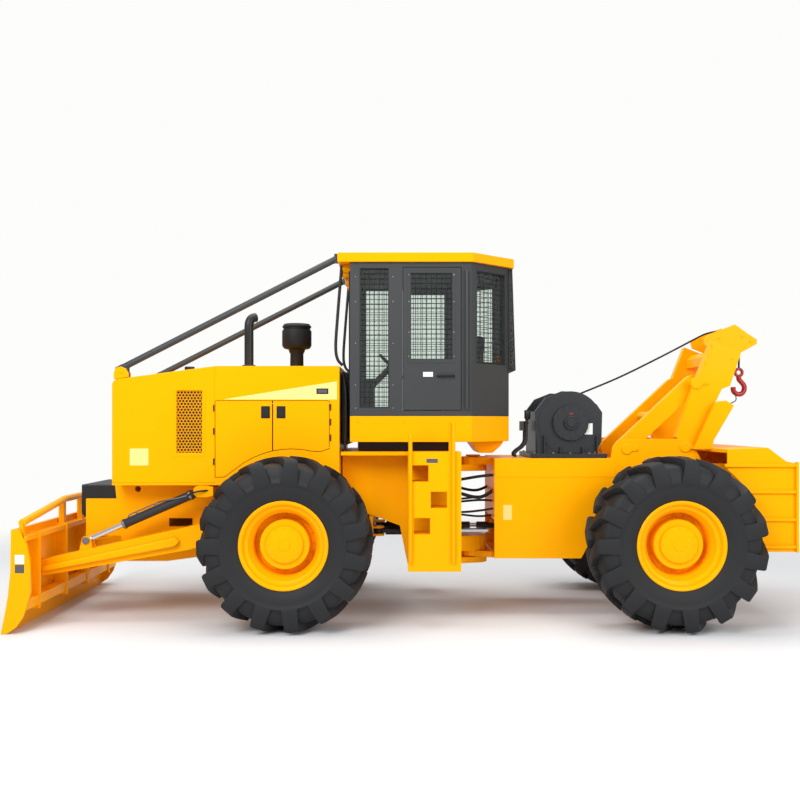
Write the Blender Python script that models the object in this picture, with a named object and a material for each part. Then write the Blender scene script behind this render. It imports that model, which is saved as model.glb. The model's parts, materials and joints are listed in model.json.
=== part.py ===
"""Articulated cable skidder: front engine and cab frame, rear winch and arch frame.

Metres, +Z up.  The machine faces -X, its left side faces -Y, and the floor is at Z = 0.
The origin is on the floor, under the middle of the machine's length and width.
"""
import math

import bmesh
import bpy
from mathutils import Matrix, Vector

# Overall sizes
LENGTH = 8.20
WIDTH = 3.00
BLADE_TIP_X = -LENGTH / 2
REAR_END_X = LENGTH / 2

# Wheels
WHEEL_RADIUS = 0.90
TYRE_WIDTH = 0.62
WHEEL_Y = (WIDTH - TYRE_WIDTH) / 2
WHEEL_Z = WHEEL_RADIUS
FRONT_AXLE_X = -1.237
WHEELBASE = 4.019
REAR_AXLE_X = FRONT_AXLE_X + WHEELBASE
LUGS_PER_SIDE = 16
LUG_HEIGHT = 0.058
LUG_LEAD_DEG = 13.4
CENTRE_STRIP = 0.012
RIM_SEAT_RADIUS = 0.430
RIM_FLANGE_RADIUS = 0.456
RIM_FLANGE_THICKNESS = 0.022
RIM_SIDES = 16
HUB_DISC_RADIUS = 0.257
HUB_CAP_RADIUS = 0.190
RIM_RECESS_RADIUS = 0.324
HUB_DISC_DEPTH = 0.10
HUB_DISC_THICKNESS = 0.085

# Clearances and common plate
SEAT_GAP = 0.0003
RUNNING_GAP = 0.007
PANEL_GAP = 0.006
HINGE_STUB_RADIUS = 0.005
PLATE = 0.040
OVERRUN = 0.10

# Articulation pivot
PIVOT_X = 0.796
PIVOT_EAR_RADIUS = 0.160
PIVOT_PIN_RADIUS = 0.055
PIVOT_PIN_CLEARANCE = 0.006
PIVOT_SIDES = 16
UPPER_FRONT_EAR = (1.585, 1.660)
UPPER_REAR_EAR = (UPPER_FRONT_EAR[1] + SEAT_GAP, 1.745)
LOWER_FRONT_BOSS = (0.668, 0.840)
LOWER_REAR_EAR = (0.600, LOWER_FRONT_BOSS[0] - SEAT_GAP)
LOWER_FRONT_EAR = (0.527, 0.592)

# Front frame
FRAME_HALF_WIDTH = 0.500
FRAME_FRONT_X = -3.240
FRAME_REAR_X = 0.530
FRAME_RAIL_TOP_Z = 1.473
FRAME_BELLY_Z = 0.600
FRAME_ARCH_Z = 1.150
FRAME_TAIL_Z = 0.500
DECK_TOP_Z = 1.828
DECK_HALF_WIDTH = 0.780
DECK_FRONT_X = -0.700

# Engine cover
HOOD_HALF_WIDTH = 0.780
HOOD_WALL = 0.040
HOOD_FRONT_X = -3.180
HOOD_SEAM_X = -2.066
HOOD_REAR_X = -0.717
HOOD_FRONT_TOP_Z = 2.610
HOOD_TOP_Z = 2.757
HOOD_BOTTOM_Z = 1.490
DOOR_SEAM_Z = 2.384
DOOR_SPLIT_X = -1.440
REAR_DOOR_END_X = -0.822
FRONT_DOOR_FOOT_Z = 1.548
FRONT_DOOR_SLOPE_SHARE = 0.25
FRONT_DOOR_HEEL = 0.100
ENGINE_DOOR_THICKNESS = 0.020
REAR_DOOR_FOOT_Z = 1.859
REAR_DOOR_SLOPE_SHARE = 0.33
WHEEL_ARCH_RADIUS = WHEEL_RADIUS + 0.055
SIDE_GRILLE_X = (-2.480, -2.204)
SIDE_GRILLE_Z = (1.816, 2.489)
SIDE_GRILLE_SLOTS = 9
FRONT_GRILLE_HALF_WIDTH = 0.600
FRONT_GRILLE_Z = (1.640, 2.460)
FRONT_GRILLE_SLOTS = 9
SLOT_SHARE = 0.62
ENGINE_X = (-2.350, -1.050)
ENGINE_HALF_WIDTH = 0.350
ENGINE_Z = (1.250, 2.150)

# Cab
CAB_HALF_WIDTH = 0.800
CAB_WALL = 0.060
CAB_FRONT_X = -0.601
CAB_SIDE_REAR_X = 0.713
CAB_REAR_X = 1.165
CAB_REAR_HALF_WIDTH = 0.400
SKIRT_BOTTOM_Z = 1.934
SKIRT_TOP_Z = 2.215
CAB_FLOOR_THICKNESS = 0.060
CAB_WALL_TOP_Z = 3.878
ROOF_TOP_Z = 3.975
ROOF_FRONT_X = -0.733
ROOF_REAR_X = 1.218
ROOF_OVERHANG = 0.035
CAB_DOOR_X = (-0.031, 0.605)
CAB_DOOR_Z = (2.272, 3.826)
DOOR_GLASS_X = (0.052, 0.507)
DOOR_GLASS_Z = (2.826, 3.760)
QUARTER_GLASS_X = (-0.494, -0.180)
QUARTER_GLASS_Z = (2.306, 3.810)
FRONT_GLASS_HALF_WIDTH = 0.690
FRONT_GLASS_Z = (2.420, 3.790)
REAR_GLASS_Z = (2.800, 3.790)
GLASS_THICKNESS = 0.010

# Blade and its arms
BLADE_HALF_WIDTH = 1.400
BLADE_TOP_Z = 1.060
BLADE_THICKNESS = 0.045
ARM_PIVOT_X = -2.190
ARM_PIVOT_Z = 0.930
ARM_INNER_Y = 0.660
ARM_OUTER_Y = 0.840
ARM_EYE_RADIUS = 0.120
ARM_PIN_RADIUS = 0.055
LIFT_PIN_X = -2.232
LIFT_PIN_Z = 1.400
LIFT_LUG_X = -3.450
LIFT_LUG_Z = 0.870
LIFT_Y = 0.750

# Rear frame
REAR_HALF_WIDTH = 0.550
REAR_PLATE = 0.035
REAR_FRAME_X = 0.988
REAR_FRAME_TOP_Z = 1.745
REAR_FRAME_BOTTOM_Z = 0.637
REAR_FRAME_END_X = 3.800
ARCH_BRACKET_TOP_Z = 1.961

# Winch and arch
WINCH_X = (1.400, 2.260)
WINCH_HALF_WIDTH = 0.460
WINCH_HUB_X = 1.855
WINCH_HUB_Z = 2.139
WINCH_TOP_Z = 2.497
DRUM_RADIUS = 0.222
DRUM_FLANGE_RADIUS = 0.300
ARCH_OUTER_Y = REAR_HALF_WIDTH - REAR_PLATE - SEAT_GAP
ARCH_COLUMN_THICKNESS = 0.100

# Finishes: colour, roughness, metallic
FINISHES = {
    "yellow_paint": ("FFB90A", 0.42, 0.0),
    "grey_paint": ("58595B", 0.55, 0.0),
    "slate_paint": ("494C51", 0.50, 0.0),
    "black_paint": ("222326", 0.60, 0.0),
    "rubber": ("35363A", 0.85, 0.0),
    "glass": ("3C4A52", 0.08, 0.0),
    "cast_steel": ("3A3B3D", 0.60, 0.6),
    "chrome": ("D8DADD", 0.12, 1.0),
    "seat_cloth": ("2C2D30", 0.90, 0.0),
    "red_paint": ("C0202C", 0.40, 0.0),
    "wire_rope": ("2E2D2C", 0.60, 0.7),
}


def linear(channel):
    """Linear value of one sRGB channel from 0 to 255."""
    share = channel / 255.0
    return share / 12.92 if share <= 0.04045 else ((share + 0.055) / 1.055) ** 2.4


def finish(name):
    """The Principled material of a finish, made once."""
    if name in bpy.data.materials:
        return bpy.data.materials[name]
    colour, roughness, metallic = FINISHES[name]
    rgb = [linear(int(colour[i:i + 2], 16)) for i in (0, 2, 4)]
    material = bpy.data.materials.new(name)
    material.use_nodes = True
    shader = material.node_tree.nodes["Principled BSDF"]
    shader.inputs["Base Color"].default_value = (*rgb, 1.0)
    shader.inputs["Roughness"].default_value = roughness
    shader.inputs["Metallic"].default_value = metallic
    return material


def as_mesh(bm):
    """A mesh data block from a closed bmesh, its faces turned outward."""
    bmesh.ops.recalc_face_normals(bm, faces=bm.faces)
    mesh = bpy.data.meshes.new("shape")
    bm.to_mesh(mesh)
    bm.free()
    return mesh


def across(side, inner, outer):
    """Low and high Y of a span given from the middle outward on one side."""
    return (inner, outer) if side > 0 else (-outer, -inner)


def prism(outline, low, high, axis):
    """Extrude a flat outline from low to high along an axis.

    The outline's pairs are (Y, Z) along x, (X, Z) along y and (X, Y) along z.
    """
    order = {"x": (2, 0, 1), "y": (0, 2, 1), "z": (0, 1, 2)}[axis]

    def point(a, b, t):
        values = (a, b, t)
        return Vector([values[i] for i in order])

    bm = bmesh.new()
    face = bm.faces.new([bm.verts.new(point(a, b, low)) for a, b in outline])
    grown = bmesh.ops.extrude_face_region(bm, geom=[face])["geom"]
    far = [item for item in grown if isinstance(item, bmesh.types.BMVert)]
    bmesh.ops.translate(bm, vec=point(0, 0, high) - point(0, 0, low), verts=far)
    return as_mesh(bm)


def block(x, y, z):
    """A box from its (low, high) pairs."""
    return prism([(x[0], y[0]), (x[1], y[0]), (x[1], y[1]), (x[0], y[1])], z[0], z[1], "z")


def arc(centre, radius, start_deg, end_deg, steps):
    """Points along an arc, both ends included."""
    turn = (end_deg - start_deg) / steps
    angles = [math.radians(start_deg + turn * i) for i in range(steps + 1)]
    return [(centre[0] + radius * math.cos(a), centre[1] + radius * math.sin(a)) for a in angles]


def link(first, second, first_radius, second_radius, steps=6):
    """Outline of a bar whose two ends are rounded about two centres."""
    run = math.degrees(math.atan2(second[1] - first[1], second[0] - first[0]))
    return (arc(second, second_radius, run - 90, run + 90, steps)
            + arc(first, first_radius, run + 90, run + 270, steps))


def rod(start, end, radius, sides=12, end_radius=None):
    """A closed round bar, or a cone, between two points."""
    start, end = Vector(start), Vector(end)
    run = end - start
    bm = bmesh.new()
    bmesh.ops.create_cone(bm, cap_ends=True, segments=sides, radius1=radius,
                          radius2=radius if end_radius is None else end_radius,
                          depth=run.length)
    turn = run.to_track_quat("Z", "Y").to_matrix().to_4x4()
    bmesh.ops.transform(bm, matrix=Matrix.Translation((start + end) / 2) @ turn, verts=bm.verts)
    return as_mesh(bm)


def tube(points, radius, sides=10):
    """A solid round bar that bends at each point of its route, its corners mitred."""
    points = [Vector(p) for p in points]
    runs = [(b - a).normalized() for a, b in zip(points, points[1:])]
    side = runs[0].orthogonal().normalized()
    bm = bmesh.new()
    rings = []
    for i, centre in enumerate(points):
        before, after = runs[max(i - 1, 0)], runs[min(i, len(runs) - 1)]
        along = (before + after).normalized()
        side = (side - along * side.dot(along)).normalized()
        other = along.cross(side)
        stretch = 1.0 / max(along.dot(after), 0.3)
        bend = (after - before)
        ring = []
        for k in range(sides):
            angle = 2 * math.pi * k / sides
            offset = (side * math.cos(angle) + other * math.sin(angle)) * radius
            if bend.length > 1e-6:
                inward = bend.normalized()
                offset += inward * offset.dot(inward) * (stretch - 1.0)
            ring.append(bm.verts.new(centre + offset))
        rings.append(ring)
    for a, b in zip(rings, rings[1:]):
        for k in range(sides):
            bm.faces.new((a[k], a[(k + 1) % sides], b[(k + 1) % sides], b[k]))
    bm.faces.new(rings[0])
    bm.faces.new(rings[-1])
    return as_mesh(bm)


def turned(profile, centre, axis, sides, closed=False):
    """Revolve (radius, offset) pairs about an axis through a centre.

    An open profile starts and ends on the axis, at radius zero.
    A closed one is the section of a ring.
    """
    along = {"x": Vector((1, 0, 0)), "y": Vector((0, 1, 0)), "z": Vector((0, 0, 1))}[axis]
    side = {"x": Vector((0, 1, 0)), "y": Vector((1, 0, 0)), "z": Vector((1, 0, 0))}[axis]
    other = along.cross(side)
    bm = bmesh.new()
    rings = []
    for radius, offset in profile:
        middle = Vector(centre) + along * offset
        count = sides if radius > 0 else 1
        angles = [2 * math.pi * k / sides for k in range(count)]
        rings.append([bm.verts.new(middle + (side * math.cos(a) + other * math.sin(a)) * radius)
                      for a in angles])
    pairs = list(zip(rings, rings[1:]))
    if closed:
        pairs.append((rings[-1], rings[0]))
    for a, b in pairs:
        for k in range(sides):
            j = (k + 1) % sides
            corners = [a[k % len(a)], a[j % len(a)], b[j % len(b)], b[k % len(b)]]
            bm.faces.new(list(dict.fromkeys(corners)))
    return as_mesh(bm)


def combined(base, others, operation):
    """The base mesh after a Boolean with each of the others in turn."""
    holders = []
    for mesh in [base] + list(others):
        holder = bpy.data.objects.new("step", mesh)
        bpy.context.scene.collection.objects.link(holder)
        holders.append(holder)
    for tool in holders[1:]:
        modifier = holders[0].modifiers.new("step", "BOOLEAN")
        modifier.operation = operation
        modifier.solver = "EXACT"
        modifier.object = tool
    graph = bpy.context.evaluated_depsgraph_get()
    result = bpy.data.meshes.new_from_object(holders[0].evaluated_get(graph))
    for holder in holders:
        bpy.data.objects.remove(holder)
    return result


def fused(*meshes):
    """One body from meshes that reach into each other."""
    return combined(meshes[0], meshes[1:], "UNION")


def cut(mesh, *tools):
    """A mesh with the tools' shapes taken away."""
    return combined(mesh, tools, "DIFFERENCE")


def add(name, mesh, finish_name, origin=(0, 0, 0), smooth_deg=None):
    """Make the named piece, its origin moved to its joint's axis."""
    mesh.name = name
    mesh.materials.clear()
    mesh.materials.append(finish(finish_name))
    mesh.transform(Matrix.Translation(-Vector(origin)))
    if smooth_deg:
        mesh.shade_smooth()
        mesh.set_sharp_from_angle(angle=math.radians(smooth_deg))
    piece = bpy.data.objects.new(name, mesh)
    piece.location = origin
    bpy.context.scene.collection.objects.link(piece)
    return piece


def clear_scene():
    """Remove every object from the open file."""
    for item in list(bpy.data.objects):
        bpy.data.objects.remove(item)


# Wheels
WHEELS = (
    # name, axle X, side
    ("front_left", FRONT_AXLE_X, -1),
    ("front_right", FRONT_AXLE_X, 1),
    ("rear_left", REAR_AXLE_X, -1),
    ("rear_right", REAR_AXLE_X, 1),
)
# Stations from the tread's middle to the bead: share of half the width, drop from the
# outer radius as a share of the sidewall's height, and whether a lug covers it
TREAD_SHARES = ((0.55, 0.028), (0.935, 0.095))
FULL_LEAD_SHARE = 1.0
LUG_FOOT_SHARES = (0.985, 0.55)
BEAD_WIDTH_SHARE = 0.775


def tyre(centre):
    """A tyre whose chevron lugs grow from its tread and run down its shoulders.

    Each half of the tread is a ring of sheared bands, every other one raised as a lug,
    and the halves are staggered by one band.
    """
    bands = 2 * LUGS_PER_SIDE
    half = TYRE_WIDTH / 2
    wall = WHEEL_RADIUS - RIM_SEAT_RADIUS
    lead = math.radians(LUG_LEAD_DEG)
    stations = [(CENTRE_STRIP, 0.0, FULL_LEAD_SHARE)]
    stations += [(half * w, wall * d, FULL_LEAD_SHARE - w / TREAD_SHARES[-1][0]) for w, d in TREAD_SHARES]
    stations.append((half * LUG_FOOT_SHARES[0], wall * LUG_FOOT_SHARES[1], 0.0))
    bm = bmesh.new()

    def vertex(radius, angle, y):
        return bm.verts.new((centre[0] + radius * math.cos(angle), centre[1] + y,
                             centre[2] + radius * math.sin(angle)))

    def ring(side, station, raised):
        y, drop, lead_share = station
        foot = station is stations[-1]
        sunk = 0.0 if raised or foot else LUG_HEIGHT
        inset = 0.0 if raised or not foot else LUG_HEIGHT / 2
        angles = [2 * math.pi * k / bands + lead * lead_share for k in range(bands)]
        return [vertex(WHEEL_RADIUS - drop - sunk, a, side * (y - inset)) for a in angles]

    base = {side: [ring(side, s, False) for s in stations] for side in (-1, 1)}
    crown = {side: [ring(side, s, True) for s in stations] for side in (-1, 1)}

    def band(first, second, k):
        j = (k + 1) % bands
        bm.faces.new((first[k], first[j], second[j], second[k]))

    for side in (-1, 1):
        for k in range(bands):
            lug = (k % 2 == 0) == (side > 0)
            rows = crown[side] if lug else base[side]
            for first, second in zip(rows, rows[1:]):
                band(first, second, k)
            if lug:
                band(base[side][0], crown[side][0], k)
                band(base[side][-1], crown[side][-1], k)
                for edge in (k, (k + 1) % bands):
                    for i in range(len(stations) - 1):
                        bm.faces.new((base[side][i][edge], base[side][i + 1][edge],
                                      crown[side][i + 1][edge], crown[side][i][edge]))
        collar = [vertex(RIM_FLANGE_RADIUS + LUG_HEIGHT / 8, 2 * math.pi * k / bands,
                         side * half * BEAD_WIDTH_SHARE) for k in range(bands)]
        bead = [vertex(RIM_SEAT_RADIUS, 2 * math.pi * k / bands, side * half * BEAD_WIDTH_SHARE)
                for k in range(bands)]
        for k in range(bands):
            band(base[side][-1], collar, k)
            band(collar, bead, k)
        base[side].append(bead)
    for k in range(bands):
        band(base[-1][0], base[1][0], k)
        band(base[-1][-1], base[1][-1], k)
    return as_mesh(bm)


def rim(centre, side):
    """A dished rim: flanges over the tyre's beads, a deep recess and the hub's flange."""
    seat = RIM_SEAT_RADIUS * math.cos(math.pi / (2 * LUGS_PER_SIDE)) - SEAT_GAP
    bead_y = TYRE_WIDTH / 2 * BEAD_WIDTH_SHARE + SEAT_GAP
    face_y = bead_y + RIM_FLANGE_THICKNESS
    hub_y = face_y - HUB_DISC_DEPTH
    lip = RIM_FLANGE_RADIUS - RIM_FLANGE_THICKNESS * 2
    disc_y = hub_y - HUB_DISC_THICKNESS
    profile = (
        (0, hub_y + RIM_FLANGE_THICKNESS),
        (HUB_CAP_RADIUS, hub_y + RIM_FLANGE_THICKNESS),
        (HUB_CAP_RADIUS, hub_y),
        (HUB_DISC_RADIUS, hub_y),
        (HUB_DISC_RADIUS, hub_y - HUB_DISC_DEPTH / 2),
        (RIM_RECESS_RADIUS, hub_y - HUB_DISC_DEPTH / 2),
        (lip, face_y - RIM_FLANGE_THICKNESS / 2),
        (lip, face_y),
        (RIM_FLANGE_RADIUS, face_y),
        (RIM_FLANGE_RADIUS, bead_y),
        (seat, bead_y),
        (seat, -bead_y),
        (RIM_FLANGE_RADIUS, -bead_y),
        (RIM_FLANGE_RADIUS, -face_y),
        (lip, -face_y),
        (lip, disc_y),
        (0, disc_y),
    )
    turned_out = [(radius, side * offset) for radius, offset in profile]
    return turned(turned_out, centre, "y", RIM_SIDES)


def hub_inner_y():
    """Distance from a wheel's middle plane out to the inner face of its disc."""
    face_y = TYRE_WIDTH / 2 * BEAD_WIDTH_SHARE + SEAT_GAP + RIM_FLANGE_THICKNESS
    return face_y - HUB_DISC_DEPTH - HUB_DISC_THICKNESS


def make_wheels():
    """Four driven wheels, each a tyre on its rim, turning about its axle."""
    for name, axle_x, side in WHEELS:
        centre = (axle_x, side * WHEEL_Y, WHEEL_Z)
        add("tyre_" + name, tyre(centre), "rubber", centre, 40)
        add("rim_" + name, rim(centre, side), "yellow_paint", centre, 30)


# Axles: middle case, tapering arms and wheel ends
AXLE_CASE_RADIUS = 0.230
AXLE_CASE_HALF_WIDTH = 0.160
AXLE_ARM_RADIUS = 0.130
AXLE_END_RADIUS = 0.200
AXLE_END_LENGTH = 0.200
AXLE_SIDES = 14
AXLE_PAD_HALF_WIDTH = 0.120
INPUT_RADIUS = 0.085


def axle(axle_x, pad_top, input_x):
    """A planetary axle: case, arms, wheel ends, pads under the frame and its input."""
    end_y = WHEEL_Y + hub_inner_y() - SEAT_GAP
    arm_y = end_y - AXLE_END_LENGTH
    half = ((AXLE_END_RADIUS, end_y), (AXLE_END_RADIUS, arm_y), (AXLE_ARM_RADIUS, arm_y),
            (AXLE_ARM_RADIUS, AXLE_CASE_HALF_WIDTH * 2), (AXLE_CASE_RADIUS, AXLE_CASE_HALF_WIDTH))
    profile = [(0, -end_y)] + [(r, -y) for r, y in half]
    profile += [(r, y) for r, y in reversed(half)] + [(0, end_y)]
    body = turned(profile, (axle_x, 0, WHEEL_Z), "y", AXLE_SIDES)
    pads = [block((axle_x - AXLE_PAD_HALF_WIDTH, axle_x + AXLE_PAD_HALF_WIDTH),
                  across(side, FRAME_HALF_WIDTH - 2 * AXLE_PAD_HALF_WIDTH, FRAME_HALF_WIDTH),
                  (WHEEL_Z, pad_top - SEAT_GAP)) for side in (-1, 1)]
    inlet = rod((axle_x, 0, WHEEL_Z), (input_x, 0, WHEEL_Z), INPUT_RADIUS)
    return fused(body, *pads, inlet)


def aimed(mesh, start, end):
    """Turn a shape made along +Z so that it runs from one point toward another."""
    run = Vector(end) - Vector(start)
    turn = run.to_track_quat("Z", "Y").to_matrix().to_4x4()
    mesh.transform(Matrix.Translation(Vector(start)) @ turn)
    return mesh


def strip(points, thickness):
    """Outline of a plate that follows points and lies above them."""
    return list(points) + [(x, z + thickness) for x, z in reversed(points)]


# Front frame: the belly's line, from the nose to the step behind the front wheels
FRAME_NOSE_FOOT_X = -3.140
BELLY_LINE = (
    # X, Z
    (FRAME_NOSE_FOOT_X, FRAME_BELLY_Z),
    (-2.650, FRAME_BELLY_Z),
    (-1.760, 0.720),
    (-1.560, FRAME_ARCH_Z),
    (-0.910, FRAME_ARCH_Z),
    (-0.720, 1.122),
    (-0.400, 1.122),
    (-0.062, 0.996),
    (0.038, FRAME_TAIL_Z),
)
NOSE_HOLE_XZ = (-2.982, 1.404)
NOSE_HOLE_RADIUS = 0.034
NOSE_SLOT_X = (-2.635, -2.372)
NOSE_SLOT_Z = (0.985, 1.078)
NOSE_BOX_X = (-3.560, -3.120)
NOSE_BOX_Z = (0.885, 1.295)
GUARD_FRONT_X = -3.630
GUARD_INSET = 0.050
GUARD_HALF_WIDTH = FRAME_HALF_WIDTH - GUARD_INSET
GUARD_Z = (1.084, 1.450)
SHELF_THICKNESS = 0.024
BULKHEAD_THICKNESS = 0.060
STEER_WINDOW_Z = (0.842, 1.060)
EAR_ROOT_HALF_WIDTH = 0.250
PIN_HEAD_THICKNESS = 0.016
PIN_HEAD_SPREAD = 0.030
CAB_MOUNT_X = (-0.460, 0.420)
CAB_MOUNT_HALF = 0.070
ENGINE_MOUNT_X = (-2.280, -1.250)
ENGINE_MOUNT_LENGTH = 0.100

# Blade lift cylinders and steering cylinders
LIFT_BRACKET_X = (-2.155, -2.080)
LIFT_EYE_HALF_WIDTH = 0.035
LIFT_EYE_RADIUS = 0.050
LIFT_EAR_THICKNESS = 0.024
LIFT_EAR_RADIUS = 0.062
LIFT_BARREL_RADIUS = 0.050
LIFT_BARREL_LENGTH = 0.909
LIFT_ROD_RADIUS = 0.030
LIFT_ROD_TAIL = 0.420
STEER_PIN_X = -0.300
STEER_PIN_Y = 0.300
STEER_ROD_PIN_X = 1.100
STEER_ROD_PIN_Y = 0.260
STEER_Z = 0.915
STEER_EYE_HALF_HEIGHT = 0.032
STEER_EYE_RADIUS = 0.048
STEER_EAR_THICKNESS = 0.022
STEER_EAR_RADIUS = 0.062
STEER_BARREL_RADIUS = 0.046
STEER_BARREL_LENGTH = 0.700
STEER_ROD_RADIUS = 0.026
STEER_ROD_TAIL = 0.400
BORE_CLEARANCE = 0.004
BORE_BOTTOM = 0.110
CYLINDER_NECK_SHARE = 0.60

# Driveshafts
SHAFT_Z = 0.925
SHAFT_RADIUS = 0.040
SHAFT_YOKE_RADIUS = 0.060
SHAFT_YOKE_LENGTH = 0.140
SHAFT_JOINT_GAP = 0.040


def pivot_ear(root_x, z):
    """A hinge plate that narrows from its root to a round end about the pivot."""
    toward = 1 if root_x < PIVOT_X else -1
    first = 90 if toward > 0 else -90
    end = arc((PIVOT_X, 0), PIVOT_EAR_RADIUS, first, first - 180, 8)
    outline = [(root_x, toward * EAR_ROOT_HALF_WIDTH)] + end
    outline.append((root_x, -toward * EAR_ROOT_HALF_WIDTH))
    return prism(outline, z[0], z[1], "z")


def pivot_pin(z):
    """The vertical pin that joins the two frames."""
    return rod((PIVOT_X, 0, z[0]), (PIVOT_X, 0, z[1]), PIVOT_PIN_RADIUS, PIVOT_SIDES)


def pin_head(z):
    """The pin's flat head."""
    radius = PIVOT_PIN_RADIUS + PIN_HEAD_SPREAD
    return rod((PIVOT_X, 0, z), (PIVOT_X, 0, z + PIN_HEAD_THICKNESS), radius, PIVOT_SIDES)


def eye_gap_spans(middle, half, thickness):
    """The two spans of a pair of ears that bear on the faces of an eye between them."""
    near = half + SEAT_GAP
    return ((middle - near - thickness, middle - near), (middle + near, middle + near + thickness))


def side_spans(side, middle, half, thickness):
    """Ear spans in Y, for ears on one side of the machine."""
    return [across(side, low, high) for low, high in eye_gap_spans(middle, half, thickness)]


def nose_x(z):
    """X of the front frame's slanted nose at a height."""
    share = (FRAME_RAIL_TOP_Z - z) / (FRAME_RAIL_TOP_Z - FRAME_BELLY_Z)
    return FRAME_FRONT_X + share * (FRAME_NOSE_FOOT_X - FRAME_FRONT_X)


def steer_ears(side, x, y, root_x):
    """Flat ears above and below a steering cylinder's eye."""
    plates = []
    for z in eye_gap_spans(STEER_Z, STEER_EYE_HALF_HEIGHT, STEER_EAR_THICKNESS):
        outline = link((root_x, side * y), (x, side * y), STEER_EAR_RADIUS, STEER_EAR_RADIUS)
        plates.append(prism(outline, z[0], z[1], "z"))
    return plates


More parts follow.
